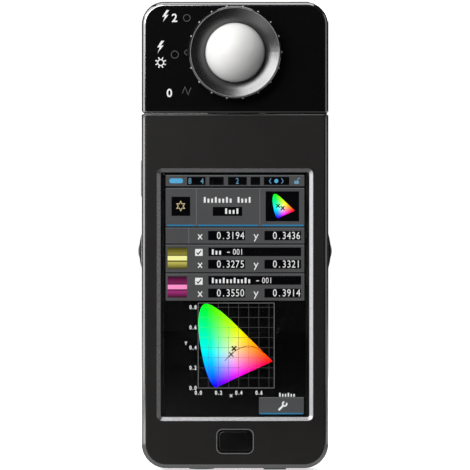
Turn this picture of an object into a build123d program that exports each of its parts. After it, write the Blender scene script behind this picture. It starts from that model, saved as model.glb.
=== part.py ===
from build123d import *
import os

# Hand-held spectrometer for measuring light and colour, standing on its foot.
# Width runs along X, the front looks towards -Y and the length runs up Z.
# The origin is the middle of the foot. All sizes are in millimetres.

# Whole meter
body_width = 73.0
overall_height = 183.0
body_depth = 27.0
dial_reach = 13.0
foot_reach = 0.8
swivel_gap = 0.4

# Casing walls and corners
wall = 2.0
front_wall = 3.0
head_front_wall = 2.4
bottom_corner = 9.5
top_corner = 8.75
inner_corner = 0.8
front_edge = 2.0
rear_edge = 4.5
parting_edge = 0.7

# Clearances and overruns
seat_gap = 0.05
run_gap = 0.07
key_gap = 0.2
cut_over = 1.0
hair = 0.01

# Window, bezel and display
window_low = 19.2
window_drop = 21.2
window_side = 5.85
bezel_corner = 2.3
bezel_depth = 2.0
bezel_rim = 1.6
bezel_wall = 0.9
bezel_lip = 0.15
bevel_drop = 0.8
bevel_margin = 0.15
panel_thickness = 0.95
panel_corner = 1.2
screen_side = 3.55
screen_end = 2.45
screen_margin = 0.6
module_border = 1.1
module_corner = 0.8
module_thickness = 2.5
gasket_thickness = 0.5
gasket_width = 1.3

# Menu key under the window
menu_drop = 7.85
menu_width = 12.7
menu_height = 7.9
menu_corner = 2.1
menu_moat = 0.95
menu_moat_rise = 1.2
menu_moat_depth = 1.0
menu_sink = 0.15
menu_edge = 0.4
flange_reach = 0.75
flange_thickness = 0.8
key_travel = 0.5

# Side keys
measure_share = 0.613
measure_length = 15.0
measure_depth = 8.0
measure_reach = 1.1
measure_edge = 0.5
nub_width = 5.2
nub_reach = 0.5
slim_share = 0.819
slim_length = 14.3
slim_depth = 4.0
slim_corner = 1.6
memory_reach = 0.5
power_sink = 0.1
slim_edge = 0.3
stem_radius = 1.4
stem_length = 3.2

# Main board, its switches and screws
board_side = 9.0
board_low = 5.5
board_drop = 6.8
board_thickness = 1.2
board_front_y = -0.6
board_corner = 1.0
board_notch = 3.2
side_switch_depth = 8.6
side_switch_width = 4.6
side_switch_length = 6.0
menu_switch_size = 6.0
board_boss_side = 5.5
board_boss_rise = 9.0
board_boss_drop = 6.9
board_boss_radius = 2.4
board_screw_radius = 0.9
board_screw_head = 1.8
board_screw_head_height = 1.2
board_screw_length = 3.4
cable_socket_width = 8.0
cable_socket_drop = 6.4
cable_socket_length = 8.0
cable_socket_rim = 3.0
chip_height = 1.1
chip_share = 0.7

# Screws that close the casings
closing_side = 7.0
closing_low = 10.5
closing_drop = 7.7
head_closing_rise = 8.1
head_closing_side = 8.5
head_closing_drop = 8.7
boss_radius = 2.6
column_radius = 3.1
screw_radius = 0.9
screw_head = 1.9
screw_head_height = 1.4
screw_grip = 7.5
screw_web = 3.5
socket_across = 1.7
socket_depth = 0.8

# Battery bay and its cover
cell_radius = 7.25
cell_length = 50.5
cell_button_radius = 2.75
cell_button = 1.0
cell_edge = 0.6
bay_low = 14.0
bay_high = 70.0
bay_half_width = 15.6
bay_wall = 1.2
bay_corner = 1.0
cover_width = 40.0
cover_top = 75.0
cover_thickness = 1.8
cover_corner = 1.5
cover_gap = 0.15
cover_slip = 0.1
tongue_width = 1.0
tongue_thickness = 0.8
seat_border = 2.2
seat_thickness = 1.6
grip_count = 5
grip_width = 16.0
grip_height = 1.0
grip_depth = 0.4
grip_pitch = 2.2
grip_top = 70.0
contact_width = 9.0
contact_height = 8.0
contact_sheet = 0.4
contact_rise = 1.7

# Tripod bush in the back
tripod_share = 0.4517
tripod_bore = 3.2
tripod_depth = 7.3
bush_radius = 5.0
bush_length = 8.3
bush_sink = 0.2
bush_groove = 0.5
bush_groove_width = 1.4
tripod_boss_radius = 7.2
tripod_boss_floor = 1.0

# Flash terminal and its cap in the foot
synchro_x = -13.1
synchro_pad_radius = 5.3
synchro_radius = 3.4
synchro_bore = 2.4
synchro_length = 8.4
synchro_floor = 2.0
synchro_pin = 0.5
synchro_pin_length = 5.4
synchro_flange = 5.0
synchro_flange_height = 1.2
synchro_cap_radius = 4.6
synchro_plug_length = 3.5
cap_play = 0.1

# Data socket and its cap in the foot
usb_x = 15.6
usb_width = 7.7
usb_depth = 3.9
usb_corner = 0.8
usb_wall = 0.35
usb_length = 8.5
usb_tongue_width = 5.2
usb_tongue_depth = 0.8
usb_tongue_length = 3.4
usb_pad_width = 9.3
usb_pad_depth = 13.0
usb_pad_y = 5.5
usb_pad_corner = 1.6
usb_cap_width = 8.1
usb_cap_depth = 6.0
usb_cap_corner = 1.1
usb_plug_length = 3.4
cap_sink = 0.25
cap_thickness = 1.1
pad_taper = 20.0

# Swivel between head and body
hub_radius = 6.5
hub_bore = 4.5
hub_flange = 9.0
hub_flange_height = 1.35
hub_length = 9.6
hub_groove = 0.6
washer_radius = 11.0
washer_thickness = 1.0
washer_sink = 0.7
spring_radius = 9.5
spring_thickness = 0.4
spring_rise = 0.35
clip_thickness = 0.8
clip_width = 2.6
clip_gap_angle = 60.0
swivel_clip_drop = 1.05

# Selection ring, dome and what turns with them
dial_top_margin = 2.05
dial_low_margin = 5.75
dome_radius = 11.55
dome_wall = 1.2
dome_flange_radius = 12.6
dome_flange_thickness = 1.0
dome_skirt = 2.45
dome_gap = 0.3
ring_radius = 17.9
ring_lip = 0.7
ring_height = 5.2
ring_lift = 0.3
ring_mouth_floor = 1.9
ring_lip_edge = 0.25
sleeve_radius = 14.2
sleeve_reach = 4.6
sleeve_wall = 1.5
clip_groove = 0.6
nub_spacing = 20
nub_radius = 0.6
nub_height_share = 0.8
pointer_reach = 2.4
pointer_half_width = 1.7
pointer_thickness = 1.4
retainer_bore = 9.6
retainer_thickness = 1.0
shutter_thickness = 0.8
inlet_offset = 6.0
inlet_radius = 2.2
screen_hole_radius = 0.35
screen_hole_ring = 1.2
screen_hole_count = 6
dial_swing = 38.0
stop_peg_radius = 0.7
stop_peg_length = 1.0
stop_slot_width = 1.8
stop_slot_depth = 1.2
stop_slack = 3.2
track_radius = 13.45
track_width = 0.9
track_depth = 0.6
pit_depth = 0.2

# Click leaf of the dial
leaf_thickness = 0.4
leaf_width = 3.2
leaf_angle = 228.0
leaf_foot_radius = 21.5
leaf_boss_radius = 2.0
leaf_gap = 0.2
leaf_bump = 0.35
leaf_bump_length = 0.6
leaf_screw_radius = 0.7
leaf_screw_head = 1.5
leaf_screw_grip = 1.8

# Optical bench in the head
bench_left = -20.0
bench_right = 24.4
bench_rise = 10.6
bench_drop = 4.5
bench_front_y = 0.5
bench_depth = 13.0
bench_wall = 1.6
bench_corner = 1.6
bench_post_radius = 2.2
bench_screw_radius = 0.9
bench_head_radius = 1.7
countersink_angle = 90.0
bench_boss_radius = 2.2
bench_screw_grip = 3.8
cover_plate = 1.2
plate_pad_radius = 1.8
plate_pad_height = 0.4
guide_radius = 2.0
guide_collar_radius = 2.7
guide_collar = 1.0
slit_wall_x = 7.0
slit_wall = 1.2
slit_wall_height = 12.5
slit_plate_size = 7.0
slit_plate_thickness = 0.3
slit_width = 0.3
slit_length = 3.0
slit_y = 7.0
mirror_half = 2.6
mirror_height = 9.0
grating_thickness = 3.2
grating_depth = 7.0
grating_height = 14.0
grating_rise = 12.0
grating_curve = 30.0
sensor_thickness = 3.2
sensor_depth = 8.0
sensor_height = 11.0
sensor_x = 4.6
sensor_window = 0.5
sensor_window_height = 8.0
sensor_window_depth = 2.4
sensor_board_thickness = 1.0
sensor_board_half_width = 22.0
sensor_board_rise = 5.2
sensor_board_drop = 4.4

# Cable through the swivel
cable_radius = 1.2
cable_bend = 4.0
plug_width = 8.0
plug_depth = 3.6
plug_height = 4.6

# Places that follow from the sizes above
front_y = dial_reach - (body_depth + dial_reach) / 2
rear_y = front_y + body_depth
split_y = (front_y + rear_y) / 2
dial_z = overall_height - dial_top_margin - ring_radius
swivel_height = dial_z - ring_radius - dial_low_margin
body_floor = foot_reach
body_top = swivel_height - swivel_gap / 2
head_floor = swivel_height + swivel_gap / 2
side_x = body_width / 2
bezel_width = body_width - 2 * window_side
bezel_height = body_top - window_drop - window_low
window_z = window_low + bezel_height / 2
screen_width = bezel_width - 2 * screen_side
screen_height = bezel_height - 2 * screen_end
menu_z = window_low - menu_drop
measure_z = body_floor + measure_share * (body_top - body_floor)
slim_z = body_floor + slim_share * (body_top - body_floor)
tripod_z = cover_top + tripod_share * (body_top - cover_top)
board_width = body_width - 2 * board_side
board_high = body_top - board_drop
board_boss_x = board_width / 2 - board_boss_side
board_boss_low = board_low + board_boss_rise
board_boss_high = board_high - board_boss_drop
cable_socket_high = board_high - cable_socket_drop
cable_socket_low = cable_socket_high - cable_socket_length
closing_x = side_x - closing_side
closing_high = body_top - closing_drop
head_closing_low = swivel_height + head_closing_rise
head_closing_high_x = side_x - head_closing_side
head_closing_high = overall_height - head_closing_drop
front_inner_y = front_y + front_wall
rear_inner_y = rear_y - wall
head_inner_y = front_y + head_front_wall
panel_rear_y = front_y + bezel_depth - seat_gap
gasket_front_y = front_inner_y + seat_gap
module_front_y = gasket_front_y + gasket_thickness + seat_gap
board_rear_y = board_front_y + board_thickness
cover_inner_y = rear_y - cover_thickness
cover_seat_y = cover_inner_y - cover_slip
cell_y = cover_inner_y - cover_gap * 2 - cell_radius
bay_floor_y = cell_y - cell_radius - seat_gap
cell_x = bay_half_width / 2
bay_middle_z = (bay_low + bay_high) / 2
usb_y = board_rear_y + seat_gap + usb_depth / 2
cap_seat = cap_sink + cap_thickness
usb_floor = cap_seat + seat_gap
dome_centre_y = front_y - dial_reach + dome_radius
dome_flange_y = dome_centre_y + dome_skirt
ring_base_y = front_y - ring_lift
ring_lip_y = front_y - ring_height
ring_floor_y = front_y - ring_mouth_floor
ring_bore = dome_radius + dome_gap
ring_mouth = ring_radius - ring_lip
stop_radius = (ring_radius + sleeve_radius) / 2
sleeve_end_y = front_y + sleeve_reach
sleeve_bore = sleeve_radius - sleeve_wall
ring_clip_y = head_inner_y + 2 * seat_gap
retainer_y = dome_flange_y + dome_flange_thickness + seat_gap
shutter_y = retainer_y + retainer_thickness + seat_gap
inlet_z = dial_z - inlet_offset
leaf_y = sleeve_end_y + leaf_gap
bench_low = swivel_height + bench_rise
bench_high = overall_height - bench_drop
grating_z = bench_low + grating_rise
sensor_board_low = swivel_height + sensor_board_rise
sensor_board_high = overall_height - sensor_board_drop
cable_turn_z = sensor_board_low + plug_height / 2
bench_rear_y = bench_front_y + bench_depth
plate_y = bench_rear_y + seat_gap
sensor_board_y = plate_y + cover_plate + plate_pad_height + seat_gap
swivel_clip_top = body_top - wall - swivel_clip_drop
closing_places = [(x, z) for x in (-closing_x, closing_x) for z in (closing_low, closing_high)]
head_closing_places = [
    (side * x, z)
    for side in (-1, 1)
    for x, z in ((closing_x, head_closing_low), (head_closing_high_x, head_closing_high))
]
board_screw_places = [
    (x, z)
    for x in (-board_boss_x, board_boss_x)
    for z in (board_boss_low, board_boss_high)
]
bench_screw_places = [
    (x, z)
    for x in (bench_left + bench_post_radius, bench_right - bench_post_radius)
    for z in (bench_low + bench_post_radius, bench_high - bench_post_radius)
]
dial_axis = Axis((0, 0, dial_z), (0, 1, 0))
dial_plane = Plane.XY.offset(dial_z)
swivel_axis = Axis((0, split_y, 0), (0, 0, 1))

os.makedirs("parts", exist_ok=True)


def upright(y):
    """Upright plane at depth y, seen from the front."""
    return Plane.XZ.offset(-y)


def slab(x, z, width, height, corner, near, far, mode=Mode.ADD):
    """Rounded rectangle in the front view, between two depths."""
    with BuildSketch(upright(far)) as outline:
        with Locations((x, z)):
            RectangleRounded(width, height, corner)
    extrude(outline.sketch, amount=far - near, mode=mode)


def rod(x, z, radius, near, far, mode=Mode.ADD):
    """Round bar between two depths."""
    with BuildSketch(upright(far)) as outline:
        with Locations((x, z)):
            Circle(radius)
    extrude(outline.sketch, amount=far - near, mode=mode)


def pad(x, y, width, depth, corner, low, high, mode=Mode.ADD):
    """Rounded rectangle in the top view, between two heights."""
    with BuildSketch(Plane.XY.offset(low)) as outline:
        with Locations((x, y)):
            RectangleRounded(width, depth, corner)
    extrude(outline.sketch, amount=high - low, mode=mode)


def post(x, y, radius, low, high, mode=Mode.ADD):
    """Round bar between two heights."""
    with BuildSketch(Plane.XY.offset(low)) as outline:
        with Locations((x, y)):
            Circle(radius)
    extrude(outline.sketch, amount=high - low, mode=mode)


def side_slab(z, depth, length, corner, inner, outer, mode=Mode.ADD):
    """Rounded rectangle in the side view, centred on the split, between two x."""
    with BuildSketch(Plane.YZ.offset(inner)) as outline:
        with Locations((split_y, z)):
            RectangleRounded(depth, length, corner)
    extrude(outline.sketch, amount=outer - inner, mode=mode)


def casing_outline(floor, roof, corner, corner_row, inset):
    """Front outline on the split plane, drawn in by inset."""
    low = floor + inset
    high = roof - inset
    with BuildSketch(upright(split_y)) as outline:
        with Locations((0, (low + high) / 2)):
            Rectangle(body_width - 2 * inset, high - low)
        fillet(outline.vertices().group_by(Axis.Y)[corner_row], max(corner - inset, inner_corner))
    return outline.sketch


def casing_form(form, floor, roof, corner, corner_row, face_y, edge, parting):
    """Outer form of half a casing, from the split plane to its face."""
    extrude(casing_outline(floor, roof, corner, corner_row, 0), amount=split_y - face_y)
    face_edges = form.edges().filter_by_position(Axis.Y, face_y - hair, face_y + hair)
    fillet([e for e in face_edges if abs(e.center().Z - parting) > hair], edge)
    parting_edges = form.edges().filter_by_position(Axis.Z, parting - hair, parting + hair)
    fillet([e for e in parting_edges if abs(e.center().Y - split_y) > hair], parting_edge)


def body_form(form, face_y, edge):
    """Outer form of half the body."""
    casing_form(form, body_floor, body_top, bottom_corner, 0, face_y, edge, body_top)


def head_form(form, face_y, edge):
    """Outer form of half the head."""
    casing_form(form, head_floor, overall_height, top_corner, -1, face_y, edge, head_floor)


def swivel_cuts():
    """Seat of the washer and running hole of the hub in the top of the body."""
    post(0, split_y, hub_radius + run_gap, body_top - 2 * wall, body_top + cut_over, Mode.SUBTRACT)
    post(0, split_y, washer_radius + seat_gap, body_top - washer_sink, body_top + cut_over, Mode.SUBTRACT)


def side_key_cuts():
    """Slots of the side keys, half in each casing."""
    for z, depth, length, corner in (
        (measure_z, measure_depth, measure_length, measure_depth / 2 + key_gap - hair),
        (slim_z, slim_depth, slim_length, slim_corner + key_gap - hair),
    ):
        for middle in (-side_x, side_x):
            side_slab(
                z, depth + 2 * key_gap, length + 2 * key_gap, corner,
                middle - 2 * wall, middle + 2 * wall, Mode.SUBTRACT,
            )


def foot_cuts():
    """Holes of the two sockets and the seats of their caps in the foot."""
    post(synchro_x, split_y, synchro_radius + seat_gap, -cut_over, body_floor + 2 * wall, Mode.SUBTRACT)
    post(synchro_x, split_y, synchro_cap_radius + cap_play, -cut_over, cap_seat, Mode.SUBTRACT)
    pad(
        usb_x, usb_y, usb_width + 2 * seat_gap, usb_depth + 2 * seat_gap, usb_corner,
        -cut_over, body_floor + 2 * wall, Mode.SUBTRACT,
    )
    pad(
        usb_x, usb_y, usb_cap_width + 2 * cap_play, usb_cap_depth + 2 * cap_play, usb_cap_corner,
        -cut_over, cap_seat, Mode.SUBTRACT,
    )


def screw(x, z, seat_y, tip_y, head_radius, head_height, shank_radius):
    """Cap screw that enters from the back, with a hexagon socket."""
    rod(x, z, head_radius, seat_y, seat_y + head_height)
    rod(x, z, shank_radius, tip_y, seat_y)
    with BuildSketch(upright(seat_y + head_height)) as socket:
        with Locations((x, z)):
            RegularPolygon(socket_across / 2, 6)
    extrude(socket.sketch, amount=socket_depth, mode=Mode.SUBTRACT)


def wedge(reach, half_angle, mode):
    """Triangle from the centre out to a reach, half an angle to each side."""
    corner = Vector(reach, 0).rotate(Axis.Z, half_angle)
    Polygon((0, 0), (corner.X, -corner.Y), (corner.X, corner.Y), align=None, mode=mode)


def retaining_clip(groove_radius, thickness):
    """Open ring that snaps into a groove, drawn on the plane of the sketch."""
    with BuildSketch(Plane.XY) as clip:
        Circle(groove_radius + clip_width)
        Circle(groove_radius, mode=Mode.SUBTRACT)
        wedge(2 * (groove_radius + clip_width), clip_gap_angle / 2, Mode.SUBTRACT)
    return extrude(clip.sketch, amount=thickness, mode=Mode.PRIVATE)


# Raised pads around the two sockets, on which the meter stands
with BuildPart() as foot_pads:
    with BuildSketch(Plane.XY.offset(body_floor)) as pads:
        with Locations((synchro_x, split_y)):
            Circle(synchro_pad_radius)
        with Locations((usb_x, usb_pad_y)):
            RectangleRounded(usb_pad_width, usb_pad_depth, usb_pad_corner)
    extrude(pads.sketch, amount=-foot_reach, taper=pad_taper)
    extrude(pads.sketch, amount=wall / 2)

# Front shell of the body
with BuildPart() as front_casing:
    body_form(front_casing, front_y, front_edge)
    extrude(
        casing_outline(body_floor, body_top, bottom_corner, 0, wall),
        amount=split_y - front_inner_y,
        mode=Mode.SUBTRACT,
    )
    add(split(foot_pads.part, bisect_by=upright(split_y), keep=Keep.TOP, mode=Mode.PRIVATE))
    slab(
        0, window_z, bezel_width, bezel_height, bezel_corner,
        front_y - cut_over, front_y + bezel_depth, Mode.SUBTRACT,
    )
    slab(
        0, window_z, screen_width + 2 * screen_margin, screen_height + 2 * screen_margin, inner_corner,
        front_y, front_inner_y + cut_over, Mode.SUBTRACT,
    )
    slab(
        0, menu_z, menu_width + 2 * menu_moat, menu_height + 2 * menu_moat_rise, menu_corner + menu_moat,
        front_y - cut_over, front_y + menu_moat_depth, Mode.SUBTRACT,
    )
    slab(
        0, menu_z, menu_width + 2 * key_gap, menu_height + 2 * key_gap, menu_corner + key_gap,
        front_y, front_inner_y + cut_over, Mode.SUBTRACT,
    )
    for x, z in closing_places:
        rod(x, z, boss_radius, front_inner_y - seat_gap, split_y - seat_gap)
        rod(x, z, screw_radius + seat_gap, split_y - screw_grip - cut_over, split_y, Mode.SUBTRACT)
    for x, z in board_screw_places:
        rod(x, z, board_boss_radius, front_inner_y - seat_gap, board_front_y - seat_gap)
        rod(
            x, z, board_screw_radius + seat_gap,
            board_rear_y - board_screw_length - seat_gap, board_front_y, Mode.SUBTRACT,
        )
    side_key_cuts()
    swivel_cuts()
    foot_cuts()
front_casing.part.label = "front_casing"
export_step(front_casing.part, "parts/front_casing.step")

# Rear shell of the body with the battery bay and the tripod boss
with BuildPart() as rear_casing:
    body_form(rear_casing, rear_y, rear_edge)
    extrude(
        casing_outline(body_floor, body_top, bottom_corner, 0, wall),
        amount=split_y - rear_inner_y,
        mode=Mode.SUBTRACT,
    )
    add(split(foot_pads.part, bisect_by=upright(split_y), keep=Keep.BOTTOM, mode=Mode.PRIVATE))
    slab(
        0, cover_top / 2 - cover_corner, cover_width + 2 * cover_gap,
        cover_top + 2 * cover_corner + 2 * cover_gap, cover_corner,
        cover_seat_y, rear_y + cut_over, Mode.SUBTRACT,
    )
    slab(
        0, (body_floor + cover_top + seat_border) / 2 + wall / 2,
        cover_width + 2 * seat_border, cover_top + seat_border - body_floor - wall, inner_corner,
        cover_seat_y - seat_thickness, cover_seat_y,
    )
    slab(
        0, bay_middle_z, 2 * (bay_half_width + bay_wall), bay_high - bay_low + 2 * bay_wall,
        bay_corner, bay_floor_y - bay_wall, cover_seat_y - seat_gap,
    )
    slab(
        0, bay_middle_z, 2 * bay_half_width, bay_high - bay_low, bay_corner,
        bay_floor_y, cover_seat_y + cut_over, Mode.SUBTRACT,
    )
    slab(
        0, cover_top / 2 - cover_corner, cover_width + 2 * tongue_width + 2 * cover_gap,
        cover_top + 2 * cover_corner + 2 * cover_gap, cover_corner,
        cover_seat_y, cover_inner_y + tongue_thickness + cover_slip, Mode.SUBTRACT,
    )
    for x, z in closing_places:
        rod(x, z, column_radius, split_y + seat_gap, rear_inner_y + seat_gap)
        rod(x, z, screw_head + key_gap, split_y + screw_web, rear_y + cut_over, Mode.SUBTRACT)
        rod(x, z, screw_radius + key_gap, split_y, split_y + screw_web, Mode.SUBTRACT)
    rod(
        0, tripod_z, tripod_boss_radius,
        rear_y - bush_sink - bush_length - tripod_boss_floor, rear_inner_y + seat_gap,
    )
    rod(
        0, tripod_z, bush_radius + seat_gap,
        rear_y - bush_sink - bush_length - seat_gap, rear_y + cut_over, Mode.SUBTRACT,
    )
    side_key_cuts()
    swivel_cuts()
    foot_cuts()
rear_casing.part.label = "rear_casing"
export_step(rear_casing.part, "parts/rear_casing.step")

# Frame around the window, bevelled down to the glass
with BuildPart() as window_bezel:
    slab(
        0, window_z, bezel_width - 2 * seat_gap, bezel_height - 2 * seat_gap, bezel_corner,
        front_y, panel_rear_y,
    )
    slab(
        0, window_z, bezel_width - 2 * bezel_wall, bezel_height - 2 * bezel_wall, panel_corner,
        front_y + bevel_drop + bezel_lip, panel_rear_y, Mode.SUBTRACT,
    )
    slab(
        0, window_z, bezel_width - 2 * bezel_rim, bezel_height - 2 * bezel_rim, inner_corner,
        front_y, panel_rear_y, Mode.SUBTRACT,
    )
    with BuildSketch(upright(front_y + bevel_drop)):
        with Locations((0, window_z)):
            RectangleRounded(bezel_width - 2 * bezel_rim, bezel_height - 2 * bezel_rim, inner_corner)
    with BuildSketch(upright(front_y)):
        with Locations((0, window_z)):
            RectangleRounded(
                bezel_width - 2 * seat_gap - 2 * bevel_margin,
                bezel_height - 2 * seat_gap - 2 * bevel_margin,
                bezel_corner - bevel_margin,
            )
    loft(mode=Mode.SUBTRACT)
window_bezel.part.label = "window_bezel"
export_step(window_bezel.part, "parts/window_bezel.step")

# Touch glass
with BuildPart() as touch_panel:
    slab(
        0, window_z, bezel_width - 2 * bezel_wall - 2 * seat_gap,
        bezel_height - 2 * bezel_wall - 2 * seat_gap, panel_corner,
        panel_rear_y - panel_thickness, panel_rear_y,
    )
touch_panel.part.label = "touch_panel"
export_step(touch_panel.part, "parts/touch_panel.step")

# Foam frame between the casing and the display
with BuildPart() as display_gasket:
    gasket_inner_width = screen_width + 2 * screen_margin
    gasket_inner_height = screen_height + 2 * screen_margin
    slab(
        0, window_z, gasket_inner_width + 2 * gasket_width, gasket_inner_height + 2 * gasket_width,
        inner_corner + gasket_width, gasket_front_y, gasket_front_y + gasket_thickness,
    )
    slab(
        0, window_z, gasket_inner_width, gasket_inner_height, inner_corner,
        gasket_front_y - cut_over, gasket_front_y + gasket_thickness + cut_over, Mode.SUBTRACT,
    )
display_gasket.part.label = "display_gasket"
export_step(display_gasket.part, "parts/display_gasket.step")

# Display with its raised glass inside a metal tray
with BuildPart() as display_module:
    module_width = screen_width + 2 * module_border
    module_height = screen_height + 2 * module_border
    slab(
        0, window_z, module_width, module_height, module_corner,
        module_front_y, module_front_y + module_thickness,
    )
    slab(
        0, window_z, screen_width, screen_height, module_corner / 2,
        module_front_y - gasket_thickness, module_front_y,
    )
display_module.part.label = "display_module"
export_step(display_module.part, "parts/display_module.step")

# Main board with its chips and the socket of the head cable
with BuildPart() as main_board:
    slab(
        0, (board_low + board_high) / 2, board_width, board_high - board_low, board_corner,
        board_front_y, board_rear_y,
    )
    for x, z in closing_places:
        rod(x, z, board_notch, board_front_y - cut_over, board_rear_y + cut_over, Mode.SUBTRACT)
    for x, z in board_screw_places:
        rod(
            x, z, board_screw_radius + seat_gap,
            board_front_y - cut_over, board_rear_y + cut_over, Mode.SUBTRACT,
        )
    pad(
        0, (board_rear_y + split_y + cable_socket_rim) / 2, cable_socket_width,
        split_y + cable_socket_rim - board_rear_y, inner_corner, cable_socket_low, cable_socket_high,
    )
    chip_size = board_width / 4
    chip_z = (measure_z + slim_z) / 2
    slab(
        -board_width / 5, chip_z, chip_size, chip_size, inner_corner / 2,
        board_rear_y, board_rear_y + chip_height,
    )
    slab(
        board_width / 6, measure_z, chip_size, chip_size * chip_share, inner_corner / 2,
        board_rear_y, board_rear_y + chip_height,
    )
    slab(
        board_width / 4, tripod_z + chip_size / 2, chip_size / 2, chip_size / 2, inner_corner / 2,
        board_rear_y, board_rear_y + chip_height,
    )
main_board.part.label = "main_board"
export_step(main_board.part, "parts/main_board.step")

# Switches behind the keys, soldered to the board
with BuildPart() as button_switches:
    measure_face = side_x - wall - seat_gap - flange_thickness - stem_length - key_travel - seat_gap
    for side in (-1, 1):
        for z in (measure_z, slim_z):
            with Locations((
                side * (measure_face - side_switch_width / 2),
                board_rear_y + seat_gap + side_switch_depth / 2,
                z,
            )):
                Box(side_switch_width, side_switch_depth, side_switch_length)
    menu_face = front_inner_y + seat_gap + flange_thickness + key_travel + seat_gap
    slab(
        0, menu_z, menu_switch_size, menu_switch_size, inner_corner,
        menu_face, board_front_y - seat_gap,
    )
button_switches.part.label = "button_switches"
export_step(button_switches.part, "parts/button_switches.step")

# Screws that hold the board to the front shell
with BuildPart() as board_screws:
    for x, z in board_screw_places:
        screw(
            x, z, board_rear_y + seat_gap, board_rear_y + seat_gap - board_screw_length,
            board_screw_head, board_screw_head_height, board_screw_radius,
        )
board_screws.part.label = "board_screws"
export_step(board_screws.part, "parts/board_screws.step")

# Screws that close the body
with BuildPart() as body_screws:
    for x, z in closing_places:
        screw(
            x, z, split_y + screw_web + seat_gap, split_y - screw_grip,
            screw_head, screw_head_height, screw_radius,
        )
body_screws.part.label = "body_screws"
export_step(body_screws.part, "parts/body_screws.step")

# Menu key
with BuildPart() as menu_button:
    slab(
        0, menu_z, menu_width, menu_height, menu_corner,
        front_y + menu_sink, front_inner_y + seat_gap,
    )
    fillet(menu_button.faces().sort_by(Axis.Y)[0].edges(), menu_edge)
    slab(
        0, menu_z, menu_width + 2 * flange_reach, menu_height + 2 * flange_reach,
        menu_corner + flange_reach, front_inner_y + seat_gap,
        front_inner_y + seat_gap + flange_thickness,
    )
menu_button.part.label = "menu_button"
export_step(menu_button.part, "parts/menu_button.step")


def side_key(form, z, depth, length, corner, reach, edge):
    """Side key on the right: cap, holding flange and stem."""
    flange_x = side_x - wall - seat_gap
    side_slab(z, depth, length, corner, flange_x, side_x + reach)
    fillet(form.faces().sort_by(Axis.X)[-1].edges(), edge)
    side_slab(
        z, depth + 2 * flange_reach, length + 2 * flange_reach, corner,
        flange_x - flange_thickness, flange_x,
    )
    with BuildSketch(Plane.YZ.offset(flange_x - flange_thickness - stem_length)) as stem:
        with Locations((split_y, z)):
            Circle(stem_radius)
    extrude(stem.sketch, amount=stem_length)


def measure_cap():
    """Round the measuring key to a shallow crescent with a low bump for the thumb."""
    sweep = (measure_length ** 2 / 4 + measure_reach ** 2) / (2 * measure_reach)
    with BuildSketch(upright(split_y + measure_depth)) as crescent:
        with Locations((side_x + measure_reach - sweep, measure_z)):
            Circle(sweep)
        with Locations((side_x / 2 - wall, measure_z)):
            Rectangle(side_x, 2 * measure_length)
    extrude(crescent.sketch, amount=2 * measure_depth, mode=Mode.INTERSECT)
    bulge = (nub_width ** 2 / 4 + nub_reach ** 2) / (2 * nub_reach)
    with BuildSketch(Plane.XY.offset(measure_z)) as bump:
        with Locations((side_x + measure_reach + nub_reach - bulge, split_y)):
            Circle(bulge)
        with Locations((side_x + measure_reach / 2 + bulge, split_y + bulge)):
            Rectangle(2 * bulge, 2 * bulge, mode=Mode.INTERSECT)
    revolve(bump.sketch, axis=Axis((0, split_y, measure_z), (1, 0, 0)))


# Measuring key on the right side
with BuildPart() as measuring_button_right:
    side_key(
        measuring_button_right, measure_z, measure_depth, measure_length,
        measure_depth / 2 - hair, measure_reach, measure_edge,
    )
    measure_cap()
measuring_button_right.part.label = "measuring_button_right"
export_step(measuring_button_right.part, "parts/measuring_button_right.step")

# Measuring key on the left side
with BuildPart() as measuring_button_left:
    mirror(measuring_button_right.part, about=Plane.YZ)
measuring_button_left.part.label = "measuring_button_left"
export_step(measuring_button_left.part, "parts/measuring_button_left.step")

# Power key, just below the surface of the right side
with BuildPart() as power_button:
    side_key(power_button, slim_z, slim_depth, slim_length, slim_corner, -power_sink, slim_edge)
power_button.part.label = "power_button"
export_step(power_button.part, "parts/power_button.step")

# Memory key, made as on the right side and then mirrored
with BuildPart() as memory_form:
    side_key(memory_form, slim_z, slim_depth, slim_length, slim_corner, memory_reach, slim_edge)

with BuildPart() as memory_button:
    mirror(memory_form.part, about=Plane.YZ)
memory_button.part.label = "memory_button"
export_step(memory_button.part, "parts/memory_button.step")

# Sliding cover of the battery bay with its tongues and grip grooves
with BuildPart() as battery_cover:
    body_form(battery_cover, rear_y, rear_edge)
    slab(
        0, cover_top / 2 - cover_corner, cover_width, cover_top + 2 * cover_corner, cover_corner,
        cover_inner_y, rear_y + cut_over, Mode.INTERSECT,
    )
    for side in (-1, 1):
        with BuildSketch(upright(cover_inner_y + tongue_thickness)) as tongue:
            with Locations((
                side * (cover_width - cover_corner + tongue_width) / 2,
                (body_floor + rear_edge + cover_top - cover_corner) / 2,
            )):
                Rectangle(
                    cover_corner + tongue_width,
                    cover_top - cover_corner - body_floor - rear_edge,
                )
        extrude(tongue.sketch, amount=tongue_thickness)
    for number in range(grip_count):
        slab(
            0, grip_top - number * grip_pitch, grip_width - number * grip_height, grip_height,
            grip_height / 2 - hair, rear_y - grip_depth, rear_y + cut_over, Mode.SUBTRACT,
        )
battery_cover.part.label = "battery_cover"
export_step(battery_cover.part, "parts/battery_cover.step")

# Two round cells, one turned over
with BuildPart() as battery_cells:
    for side in (-1, 1):
        can_low = bay_middle_z - cell_length / 2
        can_high = bay_middle_z + cell_length / 2
        button_low = can_high - cell_button if side > 0 else can_low
        with BuildSketch(Plane.XY.offset(can_low if side > 0 else can_low + cell_button)) as can:
            with Locations((side * cell_x, cell_y)):
                Circle(cell_radius)
        extrude(can.sketch, amount=cell_length - cell_button)
        post(side * cell_x, cell_y, cell_button_radius, button_low, button_low + cell_button)
    can_rims = battery_cells.edges().filter_by(GeomType.CIRCLE)
    fillet([rim for rim in can_rims if abs(rim.radius - cell_radius) < hair], cell_edge)
battery_cells.part.label = "battery_cells"
export_step(battery_cells.part, "parts/battery_cells.step")

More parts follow.
